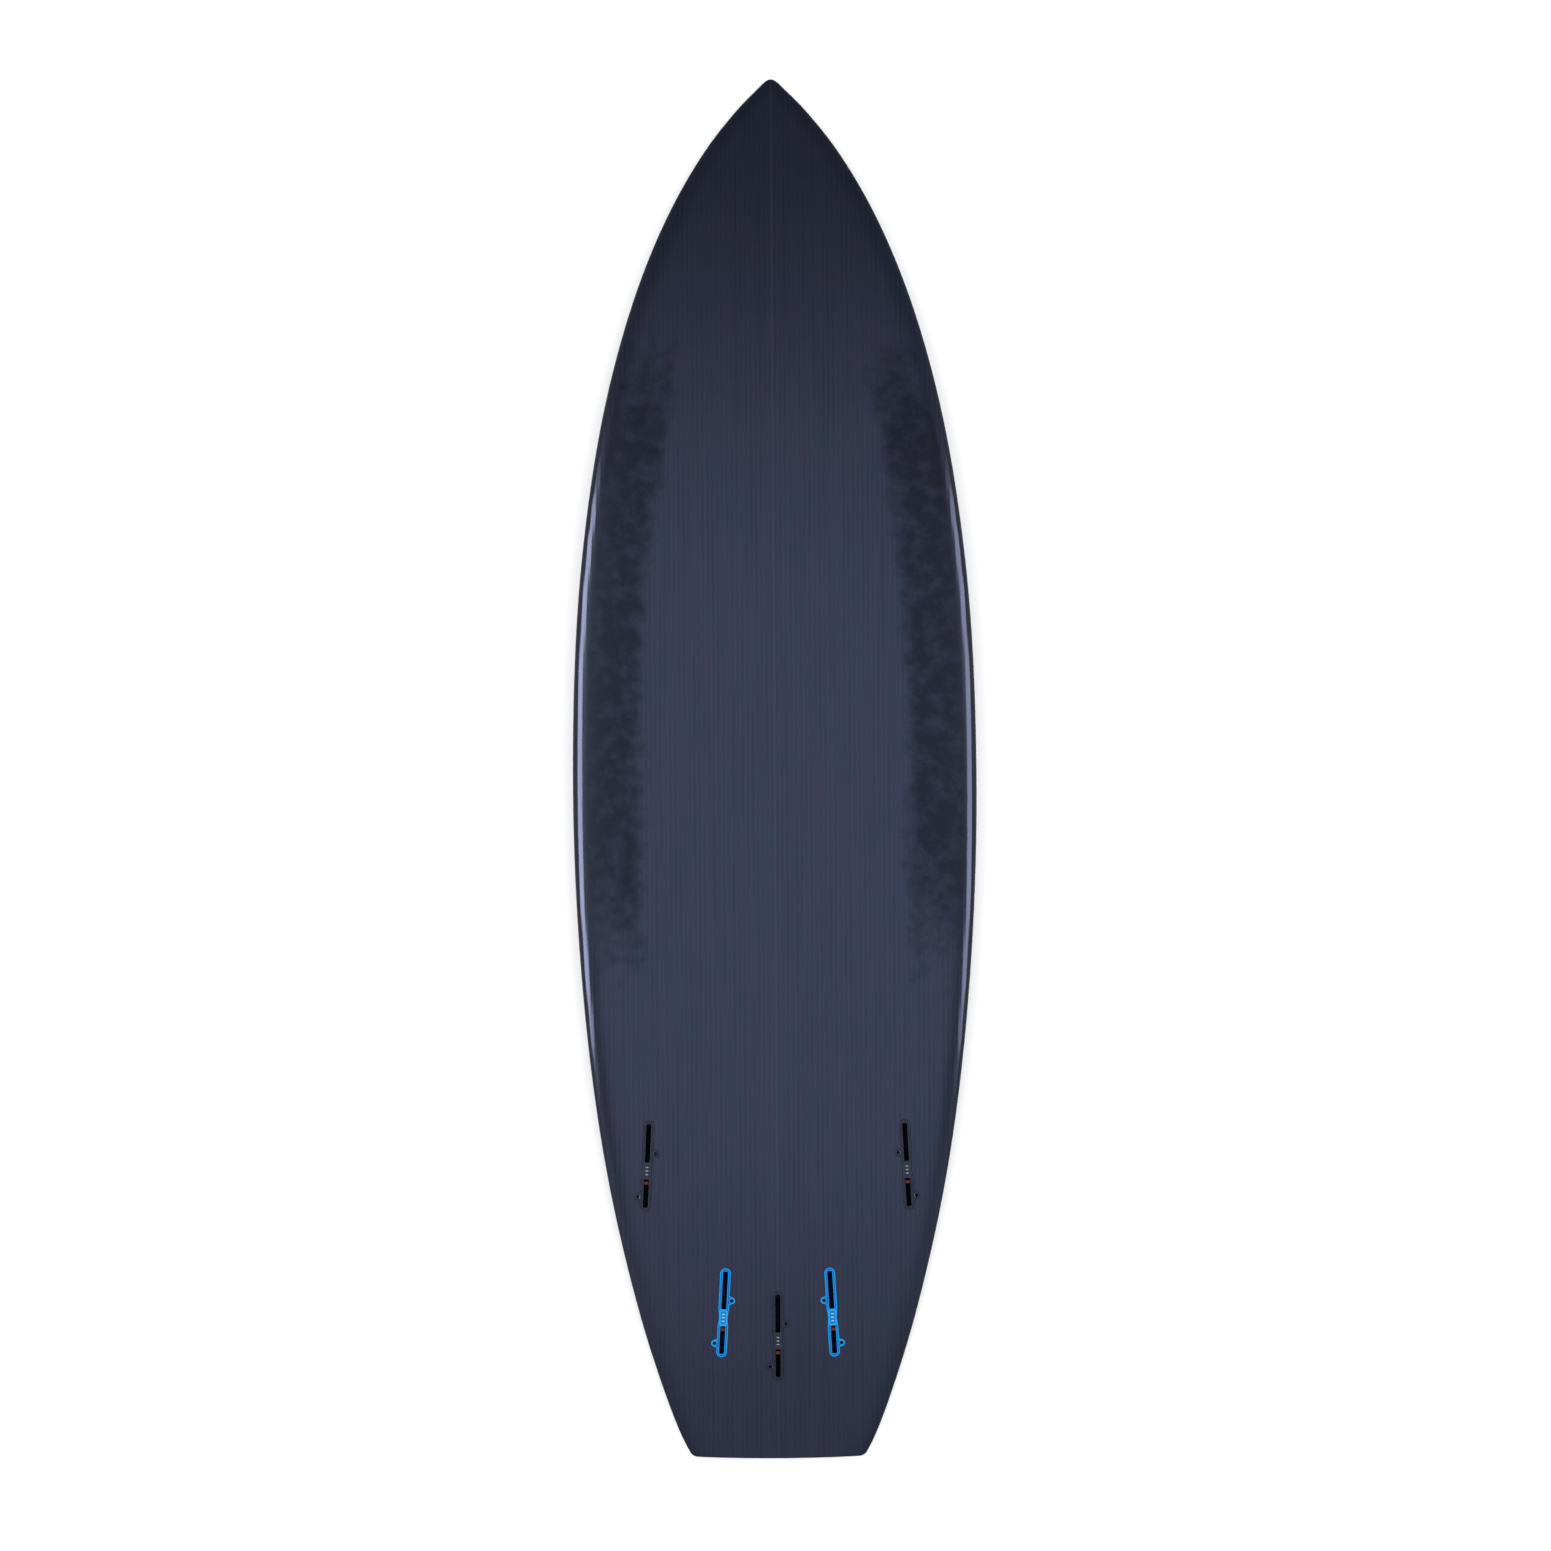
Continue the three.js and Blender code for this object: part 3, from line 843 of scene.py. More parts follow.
        links.new(outline.outputs["UV"], outline_axes.inputs["Vector"])
        links.new(place.outputs["Object"], ribs.inputs["Vector"])
        links.new(place.outputs["Object"], rib_stretch.inputs["Vector"])
        links.new(rib_stretch.outputs["Vector"], rib_fade.inputs["Vector"])
        links.new(rib_fade.outputs["Fac"], rib_edge.inputs["Value"])
        links.new(ribs.outputs["Fac"], rib_amount.inputs[0])
        links.new(rib_edge.outputs["Result"], rib_amount.inputs[1])
        links.new(outline_axes.outputs["X"], band_in.inputs["Value"])
        links.new(outline_axes.outputs["X"], band_out.inputs["Value"])
        links.new(outline_axes.outputs["Y"], band_aft.inputs["Value"])
        links.new(outline_axes.outputs["Y"], band_fore.inputs["Value"])
        links.new(band_in.outputs["Result"], band_across.inputs[0])
        links.new(band_out.outputs["Result"], band_across.inputs[1])
        links.new(band_aft.outputs["Result"], band_along.inputs[0])
        links.new(band_fore.outputs["Result"], band_along.inputs[1])
        links.new(band_across.outputs["Value"], band.inputs[0])
        links.new(band_along.outputs["Value"], band.inputs[1])
        links.new(place.outputs["Object"], blotches.inputs["Vector"])
        links.new(blotches.outputs["Fac"], mottled.inputs[0])
        links.new(band.outputs["Value"], mottled.inputs[1])
        links.new(mottled.outputs["Value"], blotch_edge.inputs["Value"])
        links.new(rib_amount.outputs["Value"], rib_clear.inputs[0])
        links.new(blotch_edge.outputs["Result"], unmottled.inputs[1])
        links.new(unmottled.outputs["Value"], rib_clear.inputs[1])
        links.new(rib_clear.outputs["Value"], rib_share.inputs[0])
        links.new(place.outputs["Object"], hue_stretch.inputs["Vector"])
        links.new(hue_stretch.outputs["Vector"], hue.inputs["Vector"])
        links.new(hue.outputs["Fac"], hue_edge.inputs["Value"])
        links.new(hue_edge.outputs["Result"], tint.inputs["Factor"])
        links.new(tint.outputs["Result"], rib_dark.inputs["A"])
        links.new(rib_share.outputs["Value"], rib_dark.inputs["Factor"])
        links.new(rib_dark.outputs["Result"], mottle_and_painted_shade.inputs["A"])
        links.new(blotch_edge.outputs["Result"], blotch_share.inputs[0])
        links.new(blotch_share.outputs["Value"], mottle_and_painted_shade.inputs["Factor"])
        links.new(place.outputs["Object"], spine.inputs["Vector"])
        links.new(spine.outputs["X"], spine_off.inputs[0])
        links.new(spine_off.outputs["Value"], spine_highlight_mask.inputs["Value"])
        links.new(spine_highlight_mask.outputs["Result"], spine_painted_highlight.inputs["Factor"])
        links.new(outline_axes.outputs["Y"], nose_shade.inputs["Value"])
        links.new(outline_axes.outputs["Y"], tail_shade.inputs["Value"])
        links.new(nose_shade.outputs["Result"], ends.inputs[0])
        links.new(tail_shade.outputs["Result"], ends.inputs[1])
        links.new(ends.outputs["Value"], painted_end_shade.inputs["Factor"])
        links.new(mottle_and_painted_shade.outputs["Result"], painted_end_shade.inputs["A"])
        links.new(painted_end_shade.outputs["Result"], spine_painted_highlight.inputs["A"])
        links.new(spine_painted_highlight.outputs["Result"], resin.inputs["Base Color"])
        links.new(outline_axes.outputs["X"], polish.inputs["Value"])
        links.new(place.outputs["Object"], smears.inputs["Vector"])
        links.new(smears.outputs["Fac"], smear_rough.inputs[0])
        links.new(outline_axes.outputs["Y"], polish_aft.inputs["Value"])
        links.new(polish_aft.outputs["Result"], polish_fade.inputs["Factor"])
        links.new(polish.outputs["Result"], polish_fade.inputs["B"])
        links.new(polish_fade.outputs["Result"], smear_rough.inputs[2])
        links.new(blotch_edge.outputs["Result"], blotch_rough.inputs[0])
        links.new(smear_rough.outputs["Value"], blotch_rough.inputs[2])
        links.new(blotch_rough.outputs["Value"], resin.inputs["Roughness"])
        links.new(rib_clear.outputs["Value"], rib_bump.inputs["Height"])
        links.new(place.outputs["Object"], peel.inputs["Vector"])
        links.new(peel.outputs["Fac"], peel_bump.inputs["Height"])
        links.new(rib_bump.outputs["Normal"], peel_bump.inputs["Normal"])
        links.new(peel_bump.outputs["Normal"], resin.inputs["Normal"])
        links.new(resin.outputs["BSDF"], output.inputs["Surface"])
        return made


@dataclass(frozen=True)
class MouldedPlastic:
    """Glass-filled nylon from a mould: paler on its lips as a painted highlight, darker in the sunk
    band between them and down in its slots as painted shade.

    Args:
        name: The material's name.
        lip: The colour of the raised lips, paler as a painted highlight along them.
        floor: The colour of the sunk band between the lips, darker as painted shade.
        deep: The painted shade down in the slots and holes, as a colour.
        worn: The colour of the grip bars, which stand proud.
        sheen: Tint of its reflection.
        rough: Its roughness.
        band_shade_levels: From the lips' level to the sunk band's, over which the painted highlight
            gives way to painted shade.
        slot_shade_levels: From just under the sunk band to where the painted shade is full.
        bar_levels: From the lips' level to the grip bars' tops.
    """

    name: str
    # Painted highlight on the lips and painted shade in the sunk band.
    lip: RGB
    floor: RGB
    # Painted shade down in the slots and holes.
    deep: RGB
    worn: RGB = (0.16, 0.17, 0.2)
    sheen: RGB = (0.54, 0.61, 1.0)
    rough: float = 0.42
    band_shade_levels: tuple[float, float] = (-0.0001, -0.00035)
    slot_shade_levels: tuple[float, float] = (-0.0006, -0.003)
    bar_levels: tuple[float, float] = (0.00002, 0.0001)

    def material(self) -> Material:
        """Writes the material out.

        Returns:
            A material that reads Object coordinates and the Level attribute.
        """
        made = bpy.data.materials.new(self.name)
        made.use_nodes = True
        nodes, links = made.node_tree.nodes, made.node_tree.links
        nodes.clear()

        place = nodes.new("ShaderNodeTexCoord")
        place.label = "Place on the board"
        level = nodes.new("ShaderNodeAttribute")
        level.label = "Level below the box's top"
        # Painted highlight on the lips and painted shade in the sunk band, by level.
        to_band_shade = nodes.new("ShaderNodeMapRange")
        to_band_shade.label = "From lip to sunk band"
        # Painted shade: the colour darkens with depth down the slots, the holes and the leash cup.
        to_slot_shade = nodes.new("ShaderNodeMapRange")
        to_slot_shade.label = "From sunk band to slot"
        lip_highlight_band_shade = nodes.new("ShaderNodeMix")
        lip_highlight_band_shade.label = "Lip or sunk band"
        slot_painted_shade = nodes.new("ShaderNodeMix")
        slot_painted_shade.label = "Dark down in the slots"
        to_worn = nodes.new("ShaderNodeMapRange")
        to_worn.label = "Up to the grip bars"
        worn_colour = nodes.new("ShaderNodeMix")
        worn_colour.label = "Paler on the grip bars"
        level_frame = nodes.new("NodeFrame")

        fibres = nodes.new("ShaderNodeTexNoise")
        fibres.label = "Glass fibres in the nylon"
        fibre_edge = nodes.new("ShaderNodeMapRange")
        fibre_edge.label = "Fibres' contrast"
        fibre_tone = nodes.new("ShaderNodeMix")
        fibre_tone.label = "Paler by the fibres"
        fibre_frame = nodes.new("NodeFrame")

        scuffs = nodes.new("ShaderNodeTexNoise")
        scuffs.label = "Scuffs from fins"
        scuff_rough = nodes.new("ShaderNodeMath")
        scuff_rough.label = "Scuffed gloss"
        deep_rough = nodes.new("ShaderNodeMath")
        deep_rough.label = "Matt down in the slots"
        grain = nodes.new("ShaderNodeTexVoronoi")
        grain.label = "Mould's spark grain"
        grain_bump = nodes.new("ShaderNodeBump")
        grain_bump.label = "Grain in relief"
        surface_frame = nodes.new("NodeFrame")

        nylon = nodes.new("ShaderNodeBsdfPrincipled")
        nylon.label = "Nylon surface"
        output = nodes.new("ShaderNodeOutputMaterial")
        output.label = "Moulded plastic"

        lay_out(level_frame, "Colour by level", 0, (
            level, to_band_shade, to_slot_shade, lip_highlight_band_shade, slot_painted_shade, to_worn, worn_colour,
        ))
        lay_out(fibre_frame, "Fibres", 1, (fibres, fibre_edge, fibre_tone))
        lay_out(surface_frame, "Surface", 2, (scuffs, scuff_rough, deep_rough, grain, grain_bump))
        place.location = (-COLUMN * 2, 0.0)
        for column, node in enumerate((nylon, output)):
            node.location = (COLUMN * (column + 6), 0.0)

        level.attribute_name = "Level"
        for node, (start, end) in (
            (to_band_shade, self.band_shade_levels), (to_slot_shade, self.slot_shade_levels), (to_worn, self.bar_levels),
        ):
            node.inputs["From Min"].default_value = start
            node.inputs["From Max"].default_value = end
        lip_highlight_band_shade.data_type = "RGBA"
        lip_highlight_band_shade.inputs["A"].default_value = (*self.lip, 1.0)
        lip_highlight_band_shade.inputs["B"].default_value = (*self.floor, 1.0)
        slot_painted_shade.data_type = "RGBA"
        slot_painted_shade.inputs["B"].default_value = (*self.deep, 1.0)
        worn_colour.data_type = "RGBA"
        worn_colour.inputs["B"].default_value = (*self.worn, 1.0)
        fibres.inputs["Scale"].default_value = 900.0
        fibres.inputs["Detail"].default_value = 3.0
        fibre_edge.inputs["From Min"].default_value = 0.6
        fibre_edge.inputs["From Max"].default_value = 0.85
        fibre_edge.inputs["To Max"].default_value = 0.12
        fibre_tone.data_type = "RGBA"
        fibre_tone.blend_type = "SCREEN"
        fibre_tone.inputs["B"].default_value = (0.35, 0.37, 0.4, 1.0)
        scuffs.inputs["Scale"].default_value = 160.0
        scuffs.inputs["Detail"].default_value = 4.0
        scuff_rough.operation = "MULTIPLY_ADD"
        scuff_rough.inputs[1].default_value = 0.2
        scuff_rough.inputs[2].default_value = self.rough - 0.1
        deep_rough.operation = "MULTIPLY_ADD"
        deep_rough.inputs[1].default_value = 0.5
        grain.inputs["Scale"].default_value = 2600.0
        grain_bump.inputs["Distance"].default_value = 0.00002
        grain_bump.inputs["Strength"].default_value = 0.5
        nylon.inputs["IOR"].default_value = 1.5
        nylon.inputs["Specular Tint"].default_value = (*self.sheen, 1.0)

        links.new(level.outputs["Fac"], to_band_shade.inputs["Value"])
        links.new(level.outputs["Fac"], to_slot_shade.inputs["Value"])
        links.new(to_band_shade.outputs["Result"], lip_highlight_band_shade.inputs["Factor"])
        links.new(lip_highlight_band_shade.outputs["Result"], fibre_tone.inputs["A"])
        links.new(fibre_tone.outputs["Result"], slot_painted_shade.inputs["A"])
        links.new(to_slot_shade.outputs["Result"], slot_painted_shade.inputs["Factor"])
        links.new(place.outputs["Object"], fibres.inputs["Vector"])
        links.new(fibres.outputs["Fac"], fibre_edge.inputs["Value"])
        links.new(fibre_edge.outputs["Result"], fibre_tone.inputs["Factor"])
        links.new(level.outputs["Fac"], to_worn.inputs["Value"])
        links.new(to_worn.outputs["Result"], worn_colour.inputs["Factor"])
        links.new(slot_painted_shade.outputs["Result"], worn_colour.inputs["A"])
        links.new(worn_colour.outputs["Result"], nylon.inputs["Base Color"])
        links.new(place.outputs["Object"], scuffs.inputs["Vector"])
        links.new(scuffs.outputs["Fac"], scuff_rough.inputs[0])
        links.new(to_slot_shade.outputs["Result"], deep_rough.inputs[0])
        links.new(scuff_rough.outputs["Value"], deep_rough.inputs[2])
        links.new(deep_rough.outputs["Value"], nylon.inputs["Roughness"])
        links.new(place.outputs["Object"], grain.inputs["Vector"])
        links.new(grain.outputs["Distance"], grain_bump.inputs["Height"])
        links.new(grain_bump.outputs["Normal"], nylon.inputs["Normal"])
        links.new(nylon.outputs["BSDF"], output.inputs["Surface"])
        return made


@dataclass(frozen=True)
class Grained:
    """A plain stuff with a grain: steel with turning marks, foam with beads, wood or rubber.

    Args:
        name: The material's name.
        light: The paler colour of the grain.
        dark: The darker colour of the grain.
        stretch: How much finer the grain is along X, Y and Z.
        scale: The grain's scale.
        rough: Roughness, least and most.
        relief: Height of the grain.
        metal: Whether it is a metal.
        cells: Whether the grain is made of beads.
    """

    name: str
    light: RGB
    dark: RGB
    stretch: tuple[float, float, float]
    scale: float
    rough: tuple[float, float]
    relief: float
    metal: bool = False
    cells: bool = False

    def material(self) -> Material:
        """Writes the material out.

        Returns:
            A material that reads Object coordinates.
        """
        made = bpy.data.materials.new(self.name)
        made.use_nodes = True
        nodes, links = made.node_tree.nodes, made.node_tree.links
        nodes.clear()

        place = nodes.new("ShaderNodeTexCoord")
        place.label = "Place on the board"
        draw_out = nodes.new("ShaderNodeMapping")
        draw_out.label = "Draws the grain out"
        grain = nodes.new("ShaderNodeTexNoise")
        grain.label = "Fine grain"
        beads = nodes.new("ShaderNodeTexVoronoi")
        beads.label = "Beads or pores"
        pattern = nodes.new("ShaderNodeMix")
        pattern.label = "Grain or beads"
        pattern_frame = nodes.new("NodeFrame")

        patches = nodes.new("ShaderNodeTexNoise")
        patches.label = "Broad patches"
        patch_share = nodes.new("ShaderNodeMath")
        patch_share.label = "Grain over patches"
        colour = nodes.new("ShaderNodeMix")
        colour.label = "Light to dark grain"
        colour_frame = nodes.new("NodeFrame")

        gloss = nodes.new("ShaderNodeMapRange")
        gloss.label = "Gloss by the grain"
        relief = nodes.new("ShaderNodeBump")
        relief.label = "Grain in relief"
        surface_frame = nodes.new("NodeFrame")

        stuff = nodes.new("ShaderNodeBsdfPrincipled")
        stuff.label = "Surface"
        output = nodes.new("ShaderNodeOutputMaterial")
        output.label = "Finish"

        lay_out(pattern_frame, "Pattern", 0, (draw_out, grain, beads, pattern))
        lay_out(colour_frame, "Colour", 1, (patches, patch_share, colour))
        lay_out(surface_frame, "Surface", 2, (gloss, relief))
        place.location = (-COLUMN * 2, 0.0)
        for column, node in enumerate((stuff, output)):
            node.location = (COLUMN * (column + 5), 0.0)

        draw_out.inputs["Scale"].default_value = self.stretch
        grain.inputs["Scale"].default_value = self.scale
        grain.inputs["Detail"].default_value = 5.0
        beads.inputs["Scale"].default_value = self.scale
        pattern.inputs["Factor"].default_value = 0.85 if self.cells else 0.15
        patches.inputs["Scale"].default_value = self.scale / 12
        patches.inputs["Detail"].default_value = 3.0
        patch_share.operation = "MULTIPLY"
        colour.data_type = "RGBA"
        colour.inputs["A"].default_value = (*self.dark, 1.0)
        colour.inputs["B"].default_value = (*self.light, 1.0)
        gloss.inputs["To Min"].default_value = self.rough[0]
        gloss.inputs["To Max"].default_value = self.rough[1]
        relief.inputs["Distance"].default_value = self.relief
        stuff.inputs["Metallic"].default_value = 1.0 if self.metal else 0.0

        links.new(place.outputs["Object"], draw_out.inputs["Vector"])
        links.new(draw_out.outputs["Vector"], grain.inputs["Vector"])
        links.new(draw_out.outputs["Vector"], beads.inputs["Vector"])
        links.new(grain.outputs["Fac"], pattern.inputs["A"])
        links.new(beads.outputs["Distance"], pattern.inputs["B"])
        links.new(place.outputs["Object"], patches.inputs["Vector"])
        links.new(patches.outputs["Fac"], patch_share.inputs[0])
        links.new(pattern.outputs["Result"], patch_share.inputs[1])
        links.new(patch_share.outputs["Value"], colour.inputs["Factor"])
        links.new(colour.outputs["Result"], stuff.inputs["Base Color"])
        links.new(pattern.outputs["Result"], gloss.inputs["Value"])
        links.new(gloss.outputs["Result"], stuff.inputs["Roughness"])
        links.new(pattern.outputs["Result"], relief.inputs["Height"])
        links.new(relief.outputs["Normal"], stuff.inputs["Normal"])
        links.new(stuff.outputs["BSDF"], output.inputs["Surface"])
        return made


# ---------------------------------------------------------------- fin boxes


@dataclass(frozen=True)
class BoxSizes:
    """What every fin box measures. Its top is at height zero and its front is towards +Y."""

    length: float = 0.117
    width: float = 0.014
    waist: float = 0.0117
    depth: float = 0.021
    wall: float = 0.0045
    slot_width: float = 0.0066
    slot_corner: float = 0.0012
    slot_depth: float = 0.015
    slot_flare: float = 0.0003
    front_slot: float = 0.0495
    bridge: float = 0.022
    rear_slot: float = 0.0365
    ledge: float = 0.0035
    ledge_depth: float = 0.003
    ear_offset: float = 0.0096
    ear_radius: float = 0.0046
    ear_spread: float = 0.0088
    front_ear: float = 0.0424        # from the box's front end
    rear_ear: float = 0.018          # from its rear end
    chamfer: float = 0.0004
    lip: float = 0.0009
    groove: float = 0.0004
    inner_lip: float = 0.0009
    ear_pad: float = 0.0036
    badge: tuple[float, float] = (0.0062, 0.0165)
    badge_depth: float = 0.0002
    hole_radius: float = 0.0024
    hole_depth: float = 0.014
    tilt: float = math.radians(30)
    bore_radius: float = 0.0013
    bore_reach: float = 0.0058
    roller_depth: float = 0.006
    roller_inset: float = 0.0055
    proud: float = 0.01              # how far a cutting solid stands out of the board
    settle_depth: float = 0.006
    grip_bars: int = 3
    bar: tuple[float, float] = (0.62, 0.09)              # a grip bar's share of the badge
    bar_rise: tuple[float, float] = (2.8, 0.4)           # its wall and bevel, by the badge's depth
    bar_corner: float = 0.4                              # its corners' radius, by its width
    bar_spacing: float = 1 / 3.6                         # from bar to bar, by the badge's length
    pad_steps: int = 10                                  # pads' tops differ by a chamfer over this
    end_steps: int = 48
    side_cuts: int = 70
    ear_steps: int = 36
    corner_steps: int = 24
    hole_steps: int = 32
    bore_steps: int = 24

    @property
    def soft_edge(self) -> float:
        """Size of the small bevels on the lips."""
        return self.chamfer / 3

    @property
    def front_end(self) -> float:
        """The front slot's front end."""
        return self.length / 2 - self.wall

    @property
    def bridge_front(self) -> float:
        """The bridge's front edge."""
        return self.front_end - self.front_slot

    @property
    def bridge_rear(self) -> float:
        """The bridge's rear edge."""
        return self.bridge_front - self.bridge

    @property
    def bridge_middle(self) -> float:
        """Halfway along the bridge."""
        return (self.bridge_front + self.bridge_rear) / 2

    @property
    def roller_y(self) -> float:
        """Where the roller crosses the rear slot."""
        return self.bridge_rear - self.roller_inset


SIZES = BoxSizes()


@dataclass(frozen=True)
class ScrewPlace:
    """Where one set screw goes down into its ear.

    Args:
        name: Front or rear.
        y: Place along the box.
        lean: Which way the ear stands and the screw's top leans, 1 or -1 along X.
    """

    name: str
    y: float
    lean: int

    def matrix(self) -> Matrix:
        """From an upright screw to one in its ear."""
        lean = Matrix.Rotation(self.lean * SIZES.tilt, 4, "Y")
        return Matrix.Translation((self.lean * SIZES.ear_offset, self.y, 0.0)) @ lean


@dataclass
class FinBox:
    """A fin box, set flush in the bottom, with its set screws, roller and roller pin.

    Args:
        name: Which box it is.
        x: Place across the board.
        station: Place along the board.
        toe: How far its front points towards the stringer, in degrees about Z.
        side: The side that its front ear stands on, 1 or -1 along X.
        slot: The record's material slot for the box.
    """

    name: str
    x: float
    station: float
    toe: float
    side: int
    slot: str

    def screw_places(self) -> tuple[ScrewPlace, ScrewPlace]:
        """The front and the rear screw.

        Returns:
            Where each one goes in the box.
        """
        front = SIZES.length / 2 - SIZES.front_ear
        rear = SIZES.rear_ear - SIZES.length / 2
        return ScrewPlace("front", front, self.side), ScrewPlace("rear", rear, -self.side)

    def turn(self) -> Matrix:
        """From the box's own frame to the board's.

        Returns:
            The move from one to the other.
        """
        half = SHAPE.half_width(self.station)
        reach = SIZES.length / 4
        share = self.x / half
        ahead = SHAPE.point(share, self.station + reach, BOTTOM).z
        behind = SHAPE.point(share, self.station - reach, BOTTOM).z
        pitch = math.atan2(ahead - behind, 2 * reach)
        place = Vector((self.x, self.station - SHAPE.length / 2, 0.0))
        place.z = SHAPE.point(share, self.station, BOTTOM).z
        toed = Matrix.Rotation(math.radians(self.toe), 4, "Z")
        return Matrix.Translation(place) @ toed @ Matrix.Rotation(pitch, 4, "X")

    def ear(self, place: ScrewPlace, grow: float, low: float, top: float) -> Object:
        """One ear: a round post joined to the box's side by straight walls.

        Args:
            place: The screw that it holds.
            grow: How much larger than the box it is, for the box's pocket.
            low: Height of its base.
            top: Height of its top.

        Returns:
            The ear's solid.
        """
        bm = bmesh.new()
        for height in (low, top):
            at = Matrix.Translation((place.lean * SIZES.ear_offset, place.y, height))
            bmesh.ops.create_circle(
                bm, segments=SIZES.ear_steps, radius=SIZES.ear_radius + grow, matrix=at,
            )
            for end in (-1, 1):
                bm.verts.new((0.0, place.y + end * (SIZES.ear_spread + grow), height))
        made = bmesh.ops.convex_hull(bm, input=bm.verts)
        inside = [part for part in made["geom_interior"] if isinstance(part, BMVert)]
        bmesh.ops.delete(bm, geom=inside, context="VERTS")
        bmesh.ops.dissolve_limit(bm, angle_limit=FLAT_ANGLE, verts=bm.verts, edges=bm.edges)
        return make_object(f"ear_{place.name}", bm)

    def blank(self, grow: float, top: float) -> Object:
        """The box's outline, narrow at its bridge and with its two ears, as a solid.

        Args:
            grow: How much larger than the box it is, for the box's pocket.
            top: Height of its top.

        Returns:
            The solid.
        """
        low = -(SIZES.depth + grow)
        bm = bmesh.new()
        width = SIZES.width + 2 * grow
        outline = bar_outline(bm, width, SIZES.length + 2 * grow, width / 2, SIZES.end_steps)
        sides = [edge for edge in outline if edge.calc_length() > SIZES.width]
        bmesh.ops.subdivide_edges(bm, edges=sides, cuts=SIZES.side_cuts)
        for vert in bm.verts:
            off = abs(vert.co.y - SIZES.bridge_middle) / (SIZES.bridge / 2)
            pull = (SIZES.width - SIZES.waist) / 2 * max(1 - off ** 2, 0.0)
            vert.co.x -= math.copysign(pull, vert.co.x)
            vert.co.z = low
        face = bmesh.ops.contextual_create(bm, geom=bm.edges[:])["faces"][0]
        raise_solid(bm, face, [(0.0, top - low)])
        body = make_object(f"box_blank_{self.name}", bm)
        for place in self.screw_places():
            facing = ScrewPlace(place.name, place.y, place.lean * self.side)
            combine(body, self.ear(facing, grow, low, top), Combine.JOIN)
        if self.side < 0:
            move_mesh(body, Matrix.Scale(-1.0, 4, (1.0, 0.0, 0.0)))
            body.data.flip_normals()
        return body

    def pocket(self) -> Object:
        """The hole that the box sits in, as a solid in the board.

        Returns:
            The solid.
        """
        solid = self.blank(GAP, SIZES.proud)
        move_mesh(solid, self.turn())
        return solid

    def raised_lip(self, body: Object) -> None:
        """Chamfers the blank's top edge and sinks its middle, which leaves a lip all round.

        Args:
            body: The box's solid, which it changes.
        """
        bm = bmesh.new()
        bm.from_mesh(body.data)
        height = max(vert.co.z for vert in bm.verts)
        low = height - SAME_PLACE
        flat = [face for face in bm.faces if min(vert.co.z for vert in face.verts) > low]
        bmesh.ops.dissolve_faces(bm, faces=flat, use_verts=False)
        top = max(bm.faces, key=lambda face: face.calc_center_median().z)
        for draw_in, rise in (
            (SIZES.chamfer, SIZES.chamfer), (SIZES.lip, 0.0), (SIZES.soft_edge, -SIZES.groove),
        ):
            bmesh.ops.inset_region(bm, faces=[top], thickness=draw_in, depth=0.0, use_even_offset=True)
            bmesh.ops.translate(bm, verts=top.verts, vec=(0.0, 0.0, rise))
        bm.to_mesh(body.data)
        bm.free()

    def block(self, centre: float, size: tuple[float, float], corner: float,
              start: float, rungs: list[tuple[float, float]]) -> Object:
        """A bar with rounded corners, for a raised pad or for cutting a slot.

        Args:
            centre: Place along the box.
            size: Width and length.
            corner: The corners' radius.
            start: Height of its first face.
            rungs: Its steps from there, as in raise_solid.

        Returns:
            The solid.
        """
        bm = bmesh.new()
        bar_outline(bm, size[0], size[1], corner, SIZES.corner_steps)
        face = bmesh.ops.contextual_create(bm, geom=bm.edges[:])["faces"][0]
        bmesh.ops.translate(bm, verts=bm.verts, vec=(0.0, centre, start))
        raise_solid(bm, face, rungs)
        return make_object("block", bm)

    def slot_cutter(self, length: float, front: float, depth: float) -> Object:
        """Cuts a slot whose mouth flares a little.

        Args:
            length: The slot's length.
            front: Its front end.
            depth: Its depth.

        Returns:
            The cutting solid.
        """
        flare = SIZES.slot_flare
        size = (SIZES.slot_width + 2 * flare, length + 2 * flare)
        rungs = [(0.0, -SIZES.proud), (flare, -flare), (0.0, flare - depth)]
        corner = SIZES.slot_corner + flare
        return self.block(front - length / 2, size, corner, SIZES.proud, rungs)

    def add_pads(self, body: Object) -> None:
        """Raises the lip round both slots, the bridge between them and a pad on each ear.

        Args:
            body: The box's solid, which it changes.
        """
        bevel = SIZES.soft_edge
        margin = 2 * SIZES.inner_lip
        inner = (SIZES.slot_width + margin, SIZES.length - 2 * SIZES.wall + margin)
        bridge = (SIZES.waist - SIZES.lip, SIZES.bridge - 4 * SIZES.inner_lip)
        base = -SIZES.proud / 2
        for step, (centre, size, corner) in enumerate((
            (0.0, inner, SIZES.slot_corner + SIZES.inner_lip),
            (SIZES.bridge_middle, bridge, SIZES.lip),
        )):
            top = -(step + 1) * SIZES.chamfer / SIZES.pad_steps
            rungs = [(0.0, top - bevel - base), (bevel, bevel)]
            combine(body, self.block(centre, size, corner, base, rungs), Combine.JOIN)
        height = -base - SIZES.soft_edge
        for place in self.screw_places():
            at = Matrix.Translation((place.lean * SIZES.ear_offset, place.y, base + height / 2))
            pad = post("ear_pad", SIZES.ear_pad, height, SIZES.hole_steps, at)
            combine(body, pad, Combine.JOIN)

